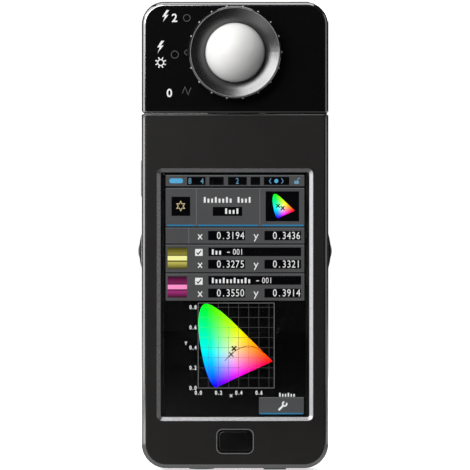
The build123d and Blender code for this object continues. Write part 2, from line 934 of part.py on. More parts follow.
# Folded leaf contacts at both ends of the cells
with BuildPart() as battery_contacts:
    for side in (-1, 1):
        for wall_z, way in ((bay_low, 1), (bay_high, -1)):
            spring_z = wall_z + way * seat_gap
            with BuildSketch(Plane.YZ.offset(side * cell_x)) as leaf:
                with BuildLine() as fold:
                    Polyline(
                        (cell_y + contact_height / 2, spring_z + way * contact_sheet / 2),
                        (cell_y - contact_height / 2, spring_z + way * contact_sheet / 2),
                        (cell_y, spring_z + way * (contact_rise + contact_sheet / 2)),
                        (cell_y + contact_height / 4, spring_z + way * (contact_rise + contact_sheet) / 2),
                    )
                trace(line_width=contact_sheet)
            extrude(leaf.sketch, amount=contact_width / 2, both=True)
battery_contacts.part.label = "battery_contacts"
export_step(battery_contacts.part, "parts/battery_contacts.step")

# Threaded bush for a tripod screw, with a groove that locks it in the boss
with BuildPart() as tripod_bush:
    bush_face = rear_y - bush_sink
    rod(0, tripod_z, bush_radius, bush_face - bush_length, bush_face)
    rod(0, tripod_z, tripod_bore, bush_face - tripod_depth, bush_face, Mode.SUBTRACT)
    groove_y = bush_face - bush_length / 2
    with BuildSketch(upright(groove_y + bush_groove_width / 2)) as groove:
        with Locations((0, tripod_z)):
            Circle(bush_radius + cut_over)
            Circle(bush_radius - bush_groove, mode=Mode.SUBTRACT)
    extrude(groove.sketch, amount=bush_groove_width, mode=Mode.SUBTRACT)
tripod_bush.part.label = "tripod_bush"
export_step(tripod_bush.part, "parts/tripod_bush.step")

# Flash terminal: barrel with a centre pin, held by its flange above the floor
with BuildPart() as synchro_terminal:
    barrel_low = cap_seat + seat_gap
    barrel_high = barrel_low + synchro_length
    post(synchro_x, split_y, synchro_radius, barrel_low, barrel_high)
    post(synchro_x, split_y, synchro_bore, barrel_low, barrel_high - synchro_floor, Mode.SUBTRACT)
    pin_top = barrel_high - synchro_floor
    post(synchro_x, split_y, synchro_pin, pin_top - synchro_pin_length, pin_top)
    flange_low = body_floor + wall + seat_gap
    with BuildSketch(Plane.XY.offset(flange_low)) as flange:
        with Locations((synchro_x, split_y)):
            Circle(synchro_flange)
            Circle(synchro_bore, mode=Mode.SUBTRACT)
    extrude(flange.sketch, amount=synchro_flange_height)
synchro_terminal.part.label = "synchro_terminal"
export_step(synchro_terminal.part, "parts/synchro_terminal.step")

# Soft cap of the flash terminal, with a hollow plug
with BuildPart() as synchro_cap:
    post(synchro_x, split_y, synchro_cap_radius, cap_sink, cap_sink + cap_thickness)
    fillet(synchro_cap.faces().sort_by(Axis.Z)[0].edges(), cap_thickness / 2)
    post(
        synchro_x, split_y, synchro_bore - cap_play,
        cap_sink + cap_thickness, cap_seat + synchro_plug_length,
    )
    post(
        synchro_x, split_y, synchro_pin + key_gap,
        cap_seat, cap_seat + synchro_plug_length, Mode.SUBTRACT,
    )
synchro_cap.part.label = "synchro_cap"
export_step(synchro_cap.part, "parts/synchro_cap.step")

# Data socket: folded shell with a contact tongue
with BuildPart() as usb_socket:
    pad(usb_x, usb_y, usb_width, usb_depth, usb_corner, usb_floor, usb_floor + usb_length)
    pad(
        usb_x, usb_y, usb_width - 2 * usb_wall, usb_depth - 2 * usb_wall, usb_corner - usb_wall,
        usb_floor, usb_floor + usb_length - usb_wall, Mode.SUBTRACT,
    )
    tongue_high = usb_floor + usb_length - usb_wall
    with Locations((usb_x, usb_y, tongue_high - usb_tongue_length / 2)):
        Box(usb_tongue_width, usb_tongue_depth, usb_tongue_length)
usb_socket.part.label = "usb_socket"
export_step(usb_socket.part, "parts/usb_socket.step")

# Soft cap of the data socket
with BuildPart() as usb_cap:
    pad(usb_x, usb_y, usb_cap_width, usb_cap_depth, usb_cap_corner, cap_sink, cap_sink + cap_thickness)
    fillet(usb_cap.faces().sort_by(Axis.Z)[0].edges(), cap_thickness / 3)
    pad(
        usb_x, usb_y, usb_width - 2 * usb_wall - 2 * cap_play, usb_depth - 2 * usb_wall - 2 * cap_play,
        usb_corner - usb_wall, cap_sink + cap_thickness, cap_seat + usb_plug_length,
    )
usb_cap.part.label = "usb_cap"
export_step(usb_cap.part, "parts/usb_cap.step")

# Slip washer on which the head turns
with BuildPart() as swivel_washer:
    with BuildSketch(Plane.XY.offset(body_top - washer_sink + hair)) as washer:
        with Locations((0, split_y)):
            Circle(washer_radius)
            Circle(hub_radius + key_gap, mode=Mode.SUBTRACT)
    extrude(washer.sketch, amount=washer_thickness)
swivel_washer.part.label = "swivel_washer"
export_step(swivel_washer.part, "parts/swivel_washer.step")

# Cone spring that draws head and body together
with BuildPart() as swivel_spring:
    with BuildSketch(upright(split_y)) as cone:
        with BuildLine():
            inner = hub_radius + key_gap
            high = body_top - wall - seat_gap
            Polyline(
                (inner, high - spring_rise),
                (spring_radius, high),
                (spring_radius, high - spring_thickness),
                (inner, high - spring_rise - spring_thickness),
                close=True,
            )
        make_face()
    revolve(axis=swivel_axis)
swivel_spring.part.label = "swivel_spring"
export_step(swivel_spring.part, "parts/swivel_spring.step")

# Front shell of the head with the bore of the dial
with BuildPart() as head_front_casing:
    head_form(head_front_casing, front_y, front_edge)
    extrude(
        casing_outline(head_floor, overall_height, top_corner, -1, wall),
        amount=split_y - head_inner_y,
        mode=Mode.SUBTRACT,
    )
    rod(0, dial_z, sleeve_radius + run_gap, front_y - cut_over, head_inner_y + cut_over, Mode.SUBTRACT)
    with BuildSketch(upright(front_y + stop_slot_depth)) as slot:
        with Locations((0, dial_z)):
            Circle(stop_radius + stop_slot_width / 2)
            Circle(stop_radius - stop_slot_width / 2, mode=Mode.SUBTRACT)
            wedge(2 * stop_radius, dial_swing + stop_slack, Mode.INTERSECT)
    extrude(slot.sketch, amount=stop_slot_depth + cut_over, mode=Mode.SUBTRACT)
    for x, z in head_closing_places:
        rod(x, z, boss_radius, head_inner_y - seat_gap, split_y - seat_gap)
        rod(x, z, screw_radius + seat_gap, split_y - screw_grip - cut_over, split_y, Mode.SUBTRACT)
    for x, z in bench_screw_places:
        rod(x, z, bench_boss_radius, head_inner_y - seat_gap, bench_front_y - seat_gap)
        rod(
            x, z, bench_screw_radius + seat_gap,
            bench_front_y - bench_screw_grip - cut_over / 2, bench_front_y, Mode.SUBTRACT,
        )
    leaf_foot = Vector(leaf_foot_radius, 0).rotate(Axis.Z, leaf_angle)
    rod(leaf_foot.X, dial_z + leaf_foot.Y, leaf_boss_radius, head_inner_y - seat_gap, leaf_y - seat_gap)
    rod(
        leaf_foot.X, dial_z + leaf_foot.Y, leaf_screw_radius + seat_gap,
        leaf_y - leaf_screw_grip - key_gap, leaf_y, Mode.SUBTRACT,
    )
    post(0, split_y, hub_radius + seat_gap, head_floor - cut_over, head_floor + 2 * wall, Mode.SUBTRACT)
head_front_casing.part.label = "head_front_casing"
export_step(head_front_casing.part, "parts/head_front_casing.step")

# Rear shell of the head
with BuildPart() as head_rear_casing:
    head_form(head_rear_casing, rear_y, rear_edge)
    extrude(
        casing_outline(head_floor, overall_height, top_corner, -1, wall),
        amount=split_y - rear_inner_y,
        mode=Mode.SUBTRACT,
    )
    for x, z in head_closing_places:
        rod(x, z, column_radius, split_y + seat_gap, rear_inner_y + seat_gap)
        rod(x, z, screw_head + key_gap, split_y + screw_web, rear_y + cut_over, Mode.SUBTRACT)
        rod(x, z, screw_radius + key_gap, split_y, split_y + screw_web, Mode.SUBTRACT)
    post(0, split_y, hub_radius + seat_gap, head_floor - cut_over, head_floor + 2 * wall, Mode.SUBTRACT)
head_rear_casing.part.label = "head_rear_casing"
export_step(head_rear_casing.part, "parts/head_rear_casing.step")

# Screws that close the head
with BuildPart() as head_screws:
    for x, z in head_closing_places:
        screw(
            x, z, split_y + screw_web + seat_gap, split_y - screw_grip,
            screw_head, screw_head_height, screw_radius,
        )
head_screws.part.label = "head_screws"
export_step(head_screws.part, "parts/head_screws.step")

# Hollow hub that hangs from the floor of the head into the body
with BuildPart() as swivel_hub:
    hub_top = head_floor + wall + seat_gap + hub_flange_height
    post(0, split_y, hub_flange, hub_top - hub_flange_height, hub_top)
    post(0, split_y, hub_radius, hub_top - hub_length, hub_top - hub_flange_height)
    post(0, split_y, hub_bore, hub_top - hub_length - cut_over, hub_top + cut_over, Mode.SUBTRACT)
    with BuildSketch(Plane.XY.offset(swivel_clip_top - clip_thickness - seat_gap)) as groove:
        with Locations((0, split_y)):
            Circle(hub_radius + cut_over)
            Circle(hub_radius - hub_groove, mode=Mode.SUBTRACT)
    extrude(groove.sketch, amount=clip_thickness + 2 * seat_gap, mode=Mode.SUBTRACT)
swivel_hub.part.label = "swivel_hub"
export_step(swivel_hub.part, "parts/swivel_hub.step")

# Clip in the groove of the hub
with BuildPart() as swivel_clip:
    clip = retaining_clip(hub_radius - hub_groove + seat_gap, clip_thickness)
    add(Plane((0, split_y, swivel_clip_top - clip_thickness)) * clip)
swivel_clip.part.label = "swivel_clip"
export_step(swivel_clip.part, "parts/swivel_clip.step")

# Selection ring: grip, conical mouth, sleeve, click track, pointer and stop peg
with BuildPart() as selection_ring:
    with BuildSketch(dial_plane) as profile:
        with BuildLine():
            Polyline(
                (ring_bore, ring_floor_y),
                (ring_mouth, ring_lip_y),
                (ring_radius - ring_lip_edge, ring_lip_y),
                (ring_radius, ring_lip_y + ring_lip_edge),
                (ring_radius, ring_base_y),
                (sleeve_radius, ring_base_y),
                (sleeve_radius, ring_clip_y - seat_gap),
                (sleeve_radius - clip_groove, ring_clip_y - seat_gap),
                (sleeve_radius - clip_groove, ring_clip_y + clip_thickness + seat_gap),
                (sleeve_radius, ring_clip_y + clip_thickness + seat_gap),
                (sleeve_radius, sleeve_end_y),
                (sleeve_bore, sleeve_end_y),
                (sleeve_bore, dome_flange_y - seat_gap),
                (ring_bore, dome_flange_y - seat_gap),
                close=True,
            )
        make_face()
    revolve(axis=dial_axis)
    nub_height = (ring_height - ring_lift) * nub_height_share
    with BuildSketch(upright(ring_base_y)) as nubs:
        with Locations((0, dial_z)):
            for turn in range(0, 360, nub_spacing):
                if turn != 180:
                    with PolarLocations(ring_radius, 1, start_angle=turn):
                        Circle(nub_radius)
    extrude(nubs.sketch, amount=nub_height)
    with BuildSketch(upright(ring_base_y)) as pointer:
        with BuildLine():
            root_x = -ring_radius + ring_lip_edge
            Polyline(
                (root_x, dial_z - pointer_half_width),
                (-ring_radius - pointer_reach, dial_z),
                (root_x, dial_z + pointer_half_width),
                close=True,
            )
        make_face()
    extrude(pointer.sketch, amount=pointer_thickness)
    rod(
        stop_radius, dial_z, stop_peg_radius,
        ring_base_y - seat_gap, ring_base_y + stop_peg_length,
    )
    with BuildSketch(upright(sleeve_end_y)) as track:
        with Locations((0, dial_z)):
            Circle(track_radius + track_width / 2)
            Circle(track_radius - track_width / 2, mode=Mode.SUBTRACT)
    extrude(track.sketch, amount=track_depth, mode=Mode.SUBTRACT)
    with BuildSketch(upright(sleeve_end_y)) as pits:
        with Locations((0, dial_z)):
            for turn in (-dial_swing, 0, dial_swing):
                with PolarLocations(track_radius, 1, start_angle=leaf_angle + turn):
                    Circle(leaf_bump + seat_gap)
    extrude(pits.sketch, amount=track_depth + pit_depth, mode=Mode.SUBTRACT)
selection_ring.part.label = "selection_ring"
export_step(selection_ring.part, "parts/selection_ring.step")

# White light-gathering dome
with BuildPart() as dome:
    with BuildSketch(dial_plane) as profile:
        with BuildLine():
            outer = CenterArc((0, dome_centre_y), dome_radius, -90, 90)
            inner = CenterArc((0, dome_centre_y), dome_radius - dome_wall, -90, 90)
            Line(outer @ 0, inner @ 0)
            Polyline(
                outer @ 1,
                (dome_radius, dome_flange_y),
                (dome_flange_radius, dome_flange_y),
                (dome_flange_radius, dome_flange_y + dome_flange_thickness),
                (dome_radius - dome_wall, dome_flange_y + dome_flange_thickness),
                inner @ 1,
            )
        make_face()
    revolve(axis=dial_axis)
dome.part.label = "dome"
export_step(dome.part, "parts/dome.step")

# Ring that holds the dome in the sleeve
with BuildPart() as dome_retainer:
    rod(0, dial_z, dome_flange_radius, retainer_y, retainer_y + retainer_thickness)
    rod(
        0, dial_z, retainer_bore,
        retainer_y - cut_over, retainer_y + retainer_thickness + cut_over, Mode.SUBTRACT,
    )
dome_retainer.part.label = "dome_retainer"
export_step(dome_retainer.part, "parts/dome_retainer.step")

# Shutter disc: an open hole, a pierced screen for strong light and a closed field
with BuildPart() as shutter_disc:
    rod(0, dial_z, dome_flange_radius, shutter_y, shutter_y + shutter_thickness)
    with BuildSketch(upright(shutter_y + shutter_thickness)) as holes:
        with Locations((0, dial_z)):
            with PolarLocations(inlet_offset, 1, start_angle=-90):
                Circle(inlet_radius)
            with PolarLocations(inlet_offset, 1, start_angle=-90 + dial_swing):
                with PolarLocations(screen_hole_ring, screen_hole_count):
                    Circle(screen_hole_radius)
    extrude(holes.sketch, amount=shutter_thickness, mode=Mode.SUBTRACT)
shutter_disc.part.label = "shutter_disc"
export_step(shutter_disc.part, "parts/shutter_disc.step")

# Clip that keeps the ring in the head
with BuildPart() as ring_clip:
    clip = retaining_clip(sleeve_radius - clip_groove + seat_gap, clip_thickness)
    add(Plane((0, ring_clip_y + clip_thickness, dial_z), x_dir=(1, 0, 0), z_dir=(0, -1, 0)) * clip)
ring_clip.part.label = "ring_clip"
export_step(ring_clip.part, "parts/ring_clip.step")

# Bench of the spectrometer: a box open to the back, with posts and a wall for the slit
with BuildPart() as optical_bench:
    bench_width = bench_right - bench_left
    bench_height = bench_high - bench_low
    bench_x = (bench_left + bench_right) / 2
    bench_z = (bench_low + bench_high) / 2
    slab(bench_x, bench_z, bench_width, bench_height, bench_corner, bench_front_y, bench_rear_y)
    slab(
        bench_x, bench_z, bench_width - 2 * bench_wall, bench_height - 2 * bench_wall, inner_corner,
        bench_front_y + bench_wall, bench_rear_y + cut_over, Mode.SUBTRACT,
    )
    for x, z in bench_screw_places:
        rod(x, z, bench_post_radius, bench_front_y, bench_rear_y)
        rod(
            x, z, bench_screw_radius + key_gap,
            bench_front_y - cut_over, bench_rear_y + cut_over, Mode.SUBTRACT,
        )
    slab(
        slit_wall_x, bench_low + bench_wall / 2 + slit_wall_height / 2,
        slit_wall, slit_wall_height + bench_wall / 2, slit_wall / 2 - hair,
        bench_front_y + bench_wall / 2, bench_rear_y - bench_wall,
    )
    with BuildSketch(Plane.YZ.offset(slit_wall_x - slit_wall)) as light_hole:
        with Locations((slit_y, inlet_z)):
            Circle(guide_radius)
    extrude(light_hole.sketch, amount=2 * slit_wall, mode=Mode.SUBTRACT)
    rod(
        0, inlet_z, guide_radius + seat_gap,
        bench_front_y - cut_over, bench_front_y + bench_wall + cut_over, Mode.SUBTRACT,
    )
optical_bench.part.label = "optical_bench"
export_step(optical_bench.part, "parts/optical_bench.step")

# Lid of the bench with pads for the sensor board
with BuildPart() as optical_cover:
    slab(bench_x, bench_z, bench_width, bench_height, bench_corner, plate_y, plate_y + cover_plate)
    for x in (bench_left / 2, bench_right / 2):
        for z in (bench_z - bench_height / 4, bench_z + bench_height / 4):
            rod(x, z, plate_pad_radius, plate_y + cover_plate, plate_y + cover_plate + plate_pad_height)
    with Locations(*[
        upright(plate_y + cover_plate) * Location((x, z)) for x, z in bench_screw_places
    ]):
        CounterSinkHole(
            bench_screw_radius + key_gap, bench_head_radius + seat_gap,
            counter_sink_angle=countersink_angle,
        )
optical_cover.part.label = "optical_cover"
export_step(optical_cover.part, "parts/optical_cover.step")

# Long flat-headed screws through the lid and the bench into the front shell
with BuildPart() as optical_screws:
    for x, z in bench_screw_places:
        head_depth = bench_head_radius - bench_screw_radius
        with BuildSketch(upright(plate_y + cover_plate)) as head:
            with Locations((x, z)):
                Circle(bench_head_radius)
        extrude(head.sketch, amount=head_depth, taper=countersink_angle / 2)
        rod(
            x, z, bench_screw_radius,
            bench_front_y - bench_screw_grip, plate_y + cover_plate - head_depth / 2,
        )
optical_screws.part.label = "optical_screws"
export_step(optical_screws.part, "parts/optical_screws.step")

# Clear rod that leads the light from the shutter into the bench
with BuildPart() as light_guide:
    rod(
        0, inlet_z, guide_radius,
        shutter_y + shutter_thickness + leaf_gap, bench_front_y + bench_wall,
    )
    rod(
        0, inlet_z, guide_collar_radius,
        bench_front_y - seat_gap - guide_collar, bench_front_y - seat_gap,
    )
light_guide.part.label = "light_guide"
export_step(light_guide.part, "parts/light_guide.step")

# Prism that turns the light towards the slit
with BuildPart() as fold_mirror:
    with BuildSketch(Plane.XY.offset(bench_low + bench_wall + seat_gap)) as prism:
        with BuildLine():
            Polyline(
                (-mirror_half, slit_y - mirror_half),
                (mirror_half, slit_y + mirror_half),
                (-mirror_half, slit_y + mirror_half),
                close=True,
            )
        make_face()
    extrude(prism.sketch, amount=mirror_height)
fold_mirror.part.label = "fold_mirror"
export_step(fold_mirror.part, "parts/fold_mirror.step")

# Thin plate with the entrance slit
with BuildPart() as entrance_slit:
    with BuildSketch(Plane.YZ.offset(slit_wall_x + slit_wall / 2 + seat_gap)) as slit_plate:
        with Locations((slit_y, inlet_z)):
            Rectangle(slit_plate_size, slit_plate_size)
            Rectangle(slit_width, slit_length, mode=Mode.SUBTRACT)
    extrude(slit_plate.sketch, amount=slit_plate_thickness)
entrance_slit.part.label = "entrance_slit"
export_step(entrance_slit.part, "parts/entrance_slit.step")

# Hollow-ground reflection grating
with BuildPart() as diffraction_grating:
    grating_x = bench_right - bench_wall - seat_gap - grating_thickness
    with BuildSketch(upright(slit_y + grating_depth / 2)) as grating:
        with Locations((grating_x + grating_thickness / 2, grating_z)):
            Rectangle(grating_thickness, grating_height)
        with Locations((grating_x + grating_thickness / 6 - grating_curve, grating_z)):
            Circle(grating_curve, mode=Mode.SUBTRACT)
    extrude(grating.sketch, amount=grating_depth)
diffraction_grating.part.label = "diffraction_grating"
export_step(diffraction_grating.part, "parts/diffraction_grating.step")

# Line sensor with its window towards the grating
with BuildPart() as line_sensor:
    sensor_high = bench_high - bench_wall - seat_gap
    sensor_z = sensor_high - sensor_height / 2
    with BuildSketch(Plane.YZ.offset(sensor_x)) as package:
        with Locations((slit_y, sensor_z)):
            Rectangle(sensor_depth, sensor_height)
    extrude(package.sketch, amount=sensor_thickness)
    with BuildSketch(Plane.YZ.offset(sensor_x + sensor_thickness)) as window:
        with Locations((slit_y, sensor_z)):
            Rectangle(sensor_window_depth, sensor_window_height)
    extrude(window.sketch, amount=sensor_window)
line_sensor.part.label = "line_sensor"
export_step(line_sensor.part, "parts/line_sensor.step")

# Sensor board behind the bench, with the plug of the head cable
with BuildPart() as sensor_board:
    slab(
        0, (sensor_board_low + sensor_board_high) / 2, 2 * sensor_board_half_width,
        sensor_board_high - sensor_board_low, board_corner,
        sensor_board_y, sensor_board_y + sensor_board_thickness,
    )
    slab(
        0, sensor_board_low + plug_height / 2, plug_width, plug_height, inner_corner,
        sensor_board_y - plug_depth, sensor_board_y,
    )
    slab(
        0, bench_z, bench_height / 3, bench_height / 3, inner_corner / 2,
        sensor_board_y + sensor_board_thickness,
        sensor_board_y + sensor_board_thickness + chip_height,
    )
sensor_board.part.label = "sensor_board"
export_step(sensor_board.part, "parts/sensor_board.step")

# Sprung leaf that clicks into the pits of the selection ring
with BuildPart() as click_leaf:
    with BuildSketch(upright(leaf_y + leaf_thickness)) as strip:
        with Locations((0, dial_z)):
            with PolarLocations((track_radius + leaf_foot_radius) / 2, 1, start_angle=leaf_angle):
                SlotCenterToCenter(leaf_foot_radius - track_radius, leaf_width)
            with PolarLocations(leaf_foot_radius, 1, start_angle=leaf_angle):
                Circle(leaf_screw_radius + seat_gap, mode=Mode.SUBTRACT)
    extrude(strip.sketch, amount=leaf_thickness)
    with BuildSketch(upright(leaf_y)) as bump:
        with Locations((0, dial_z)):
            with PolarLocations(track_radius, 1, start_angle=leaf_angle):
                Circle(leaf_bump)
    extrude(bump.sketch, amount=leaf_bump_length)
click_leaf.part.label = "click_leaf"
export_step(click_leaf.part, "parts/click_leaf.step")

# Screw of the click leaf
with BuildPart() as leaf_screw:
    seat = leaf_y + leaf_thickness + seat_gap
    rod(leaf_foot.X, dial_z + leaf_foot.Y, leaf_screw_head, seat, seat + leaf_screw_radius)
    rod(leaf_foot.X, dial_z + leaf_foot.Y, leaf_screw_radius, leaf_y - leaf_screw_grip, seat)
leaf_screw.part.label = "leaf_screw"
export_step(leaf_screw.part, "parts/leaf_screw.step")

# Cable along the swivel axis, from the main board up to the sensor board
with BuildPart() as head_cable:
    with BuildLine() as route:
        FilletPolyline(
            (0, split_y, cable_socket_high + seat_gap),
            (0, split_y, cable_turn_z),
            (0, sensor_board_y - plug_depth - seat_gap, cable_turn_z),
            radius=cable_bend,
        )
    with BuildSketch(Plane.XY.offset(cable_socket_high + seat_gap)):
        with Locations((0, split_y)):
            Circle(cable_radius)
    sweep(path=route.line)
head_cable.part.label = "head_cable"
export_step(head_cable.part, "parts/head_cable.step")
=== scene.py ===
# %% [markdown]
# # A light meter, dressed
#
# The meter is a tall black body with a touch screen, and a glossy head on top that carries a white dome in a
# turning ring. Its solid parts come packed from the CAD model, so this lesson doesn't model them again. It
# gives them finishes, and it adds what is too thin or too fine for the solids: the lit screen, the white
# signs, the raised marks round the dial, the frame round the menu key, the caps of the nubs and the thread of
# the tripod bush.

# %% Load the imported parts
import math

import bmesh
import bpy
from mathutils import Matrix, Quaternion, Vector


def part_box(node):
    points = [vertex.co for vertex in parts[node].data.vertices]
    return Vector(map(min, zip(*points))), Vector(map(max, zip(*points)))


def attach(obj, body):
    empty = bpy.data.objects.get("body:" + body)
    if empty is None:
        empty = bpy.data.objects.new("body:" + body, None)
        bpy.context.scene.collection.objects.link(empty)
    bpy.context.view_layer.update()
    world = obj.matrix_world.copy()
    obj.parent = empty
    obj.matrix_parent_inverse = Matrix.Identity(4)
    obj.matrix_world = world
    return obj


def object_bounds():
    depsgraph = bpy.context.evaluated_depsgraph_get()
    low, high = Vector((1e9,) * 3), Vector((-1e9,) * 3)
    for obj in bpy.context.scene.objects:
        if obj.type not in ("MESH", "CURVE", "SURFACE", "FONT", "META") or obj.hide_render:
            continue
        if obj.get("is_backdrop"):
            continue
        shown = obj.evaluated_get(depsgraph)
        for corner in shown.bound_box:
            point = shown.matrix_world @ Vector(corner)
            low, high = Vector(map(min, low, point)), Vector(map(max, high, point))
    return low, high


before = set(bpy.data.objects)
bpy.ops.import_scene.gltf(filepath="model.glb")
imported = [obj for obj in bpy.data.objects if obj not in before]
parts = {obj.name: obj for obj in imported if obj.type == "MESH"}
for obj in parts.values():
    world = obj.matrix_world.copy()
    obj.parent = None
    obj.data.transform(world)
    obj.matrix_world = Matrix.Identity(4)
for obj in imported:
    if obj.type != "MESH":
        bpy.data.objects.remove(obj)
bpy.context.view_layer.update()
mm = 0.001

# %% [markdown]
# ## Camera first
#
# The picture is a packshot: the camera looks straight at the front through a long lens, so the sides don't
# show and nothing converges. A short lens close by would show the sides of the dome's ring. The lens is
# 300 mm, and the distance follows from how much of the picture the meter fills: nearly all its height. The
# camera stands level with the middle of the meter.

# %% Camera
lens = 300.0
film = 36.0
picture_height = 184.6 * mm
picture_middle = 91.9 * mm
# The edge that bounds the body in the picture lies this far behind the origin.
outline_depth = 3.0 * mm

camera_data = bpy.data.cameras.new("packshot")
camera_data.lens = lens
camera_data.sensor_width = film
camera = bpy.data.objects.new("packshot", camera_data)
bpy.context.scene.collection.objects.link(camera)
distance = picture_height * lens / film
camera.location = (0, outline_depth - distance, picture_middle)
camera.rotation_euler = (math.radians(90), 0, 0)
bpy.context.scene.camera = camera
bpy.context.scene.view_settings.view_transform = "Standard"
print("camera at", round(distance, 3), "m")

# %% [markdown]
# ## Nodes and colours
#
# Every finish below is a tree of shader nodes. One small helper adds a node, sets its options and links its
# inputs, so that a tree reads from top to bottom. Colours are written as the hex values a picture editor
# shows, and one function turns them to the linear values that light needs. Patterns read the place on the
# piece in millimetres, so a noise of scale 1 / 0.3 has grains of 0.3 mm on every piece alike.


# %% Helpers for finishes
def linear(hex_colour):
    """sRGB hex to linear colour with alpha."""
    channels = [int(hex_colour[i:i + 2], 16) / 255 for i in (1, 3, 5)]
    return tuple(c / 12.92 if c <= 0.04045 else ((c + 0.055) / 1.055) ** 2.4 for c in channels) + (1,)


def add(tree, kind, inputs=None, **options):
    """Add a node. Options are its settings, inputs values or sockets. Returns its first enabled output."""
    node = tree.nodes.new(kind)
    for name, value in options.items():
        setattr(node, name, value)
    for name, value in (inputs or {}).items():
        if isinstance(value, bpy.types.NodeSocket):
            tree.links.new(value, node.inputs[name])
        else:
            node.inputs[name].default_value = value
    return [socket for socket in node.outputs if socket.enabled][0]


def finish(name, **values):
    """Start a finish: the material, its tree, its shader and the place on the piece in millimetres."""
    material = bpy.data.materials.new(name)
    material.use_nodes = True
    tree = material.node_tree
    shader = tree.nodes["Principled BSDF"]
    for key, value in values.items():
        shader.inputs[key.replace("_", " ").title().replace("Ior", "IOR")].default_value = value
    metres = tree.nodes.new("ShaderNodeTexCoord").outputs["Object"]
    place = add(tree, "ShaderNodeVectorMath", {0: metres, 1: (1000, 1000, 1000)}, operation="MULTIPLY")
    return material, tree, shader, place


def edge_mask(tree, flat, round_off):
    """1 on edges and roundings, 0 on faces that look straight along an axis. Both limits are cosines."""
    normal = tree.nodes.new("ShaderNodeTexCoord").outputs["Normal"]
    facing = add(tree, "ShaderNodeVectorMath", {0: normal}, operation="ABSOLUTE")
    x, y, z = add(tree, "ShaderNodeSeparateXYZ", {0: facing}).node.outputs
    wide = add(tree, "ShaderNodeMath", {0: x, 1: y}, operation="MAXIMUM")
    most = add(tree, "ShaderNodeMath", {0: wide, 1: z}, operation="MAXIMUM")
    return add(tree, "ShaderNodeMapRange", {0: most, 1: flat, 2: round_off, 3: 0, 4: 1})


def set_inputs(tree, shader, **sockets):
    """Link sockets to the shader's inputs."""
    for key, socket in sockets.items():
        tree.links.new(socket, shader.inputs[key.replace("_", " ").title()])


def dress(material, *names):
    """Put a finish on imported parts."""
    for name in names:
        parts[name].data.materials.clear()
        parts[name].data.materials.append(material)


print("a mid grey is", [round(c, 3) for c in linear("#808080")])

# %% [markdown]
# ## Light
#
# Black plastic shows almost nothing but what it mirrors. So each light is a softbox, placed where a rounding
# or a bevel will mirror it, and nothing bright stands where the flat front would. A rounding that turns
# through 90 degrees mirrors everything from the camera round to the side, so a strip from the left draws the
# left edge, one from above draws the top, and a weak one keeps the right side from vanishing. The key is
# small and strong: it shades the dome and lights the lower right of the ring's mouth. Two more lights stand
# behind the meter, for its back.


# %% Softboxes
def softbox(name, azimuth, elevation, away, width, height, radiance, roll=0):
    """Area light round the meter: azimuth 0 is in front and 90 on the right, in degrees."""
    middle = Vector((0, 0, 0.09))
    a, e = math.radians(azimuth), math.radians(elevation)
    way = Vector((math.sin(a) * math.cos(e), -math.cos(a) * math.cos(e), math.sin(e)))
    data = bpy.data.lights.new(name, "AREA")
    data.shape = "RECTANGLE"
    data.size, data.size_y = width, height
    data.energy = radiance * math.pi * width * height
    light = bpy.data.objects.new(name, data)
    light.location = middle + way * away
    turn = (-way).to_track_quat("-Z", "Y") @ Quaternion((0, 0, 1), math.radians(roll))
    light.rotation_euler = turn.to_euler()
    light.visible_camera = False
    bpy.context.scene.collection.objects.link(light)


# Azimuth and elevation in degrees, then distance, width and height in metres, then radiance.
softbox("key", -28, 27, 0.95, 0.85, 0.26, 10.0, roll=42)
softbox("left_strip", -66, 1, 0.80, 0.58, 1.10, 1.8)
softbox("roof_strip", 0, 78, 0.80, 0.60, 0.66, 1.8)
softbox("corner_box", -64, 43, 0.85, 0.50, 0.46, 2.6)
softbox("right_strip", 68, 2, 0.80, 0.50, 1.00, 0.4)
softbox("rear_key", 152, 28, 0.95, 0.55, 0.55, 6.0)
softbox("rear_fill", -160, 10, 0.9, 0.7, 0.7, 2.4)
print("lights", len(bpy.data.lights))

# %% [markdown]
# ## Room and floor
#
# The camera sees white paper all round. What the black parts mirror is chosen apart from that: a dark room,
# and a floor that is pale and a little lit near the meter, which gives the lower edges their grey line. It is
# pale and lit at the sides and behind too, so the black back has something to mirror. Only in front lies dark
# cloth, because the glass would mirror a pale floor there, with a glowing patch of floor at its left,
# standing in for a white card, that lights the underside of the dome.

# %% Room
world = bpy.data.worlds.new("studio")
bpy.context.scene.world = world
world.use_nodes = True
seen = add(world.node_tree, "ShaderNodeLightPath")
paper = add(world.node_tree, "ShaderNodeMix", {0: seen, 6: linear("#1e1e20"), 7: (1.05, 1.05, 1.05, 1)},
            data_type="RGBA")
world.node_tree.links.new(paper, world.node_tree.nodes["Background"].inputs["Color"])
print("world", world.name)

# %% Floor sheet
# It lies a fifth of a millimetre below the foot, so the two faces never share one height.
floor_mesh = bpy.data.meshes.new("floor")
form = bmesh.new()
bmesh.ops.create_circle(form, cap_ends=True, segments=96, radius=2.2)
form.to_mesh(floor_mesh)
form.free()
floor = bpy.data.objects.new("floor", floor_mesh)
bpy.context.scene.collection.objects.link(floor)
floor.location.z = -0.2 * mm
print("floor", len(floor_mesh.vertices), "corners")

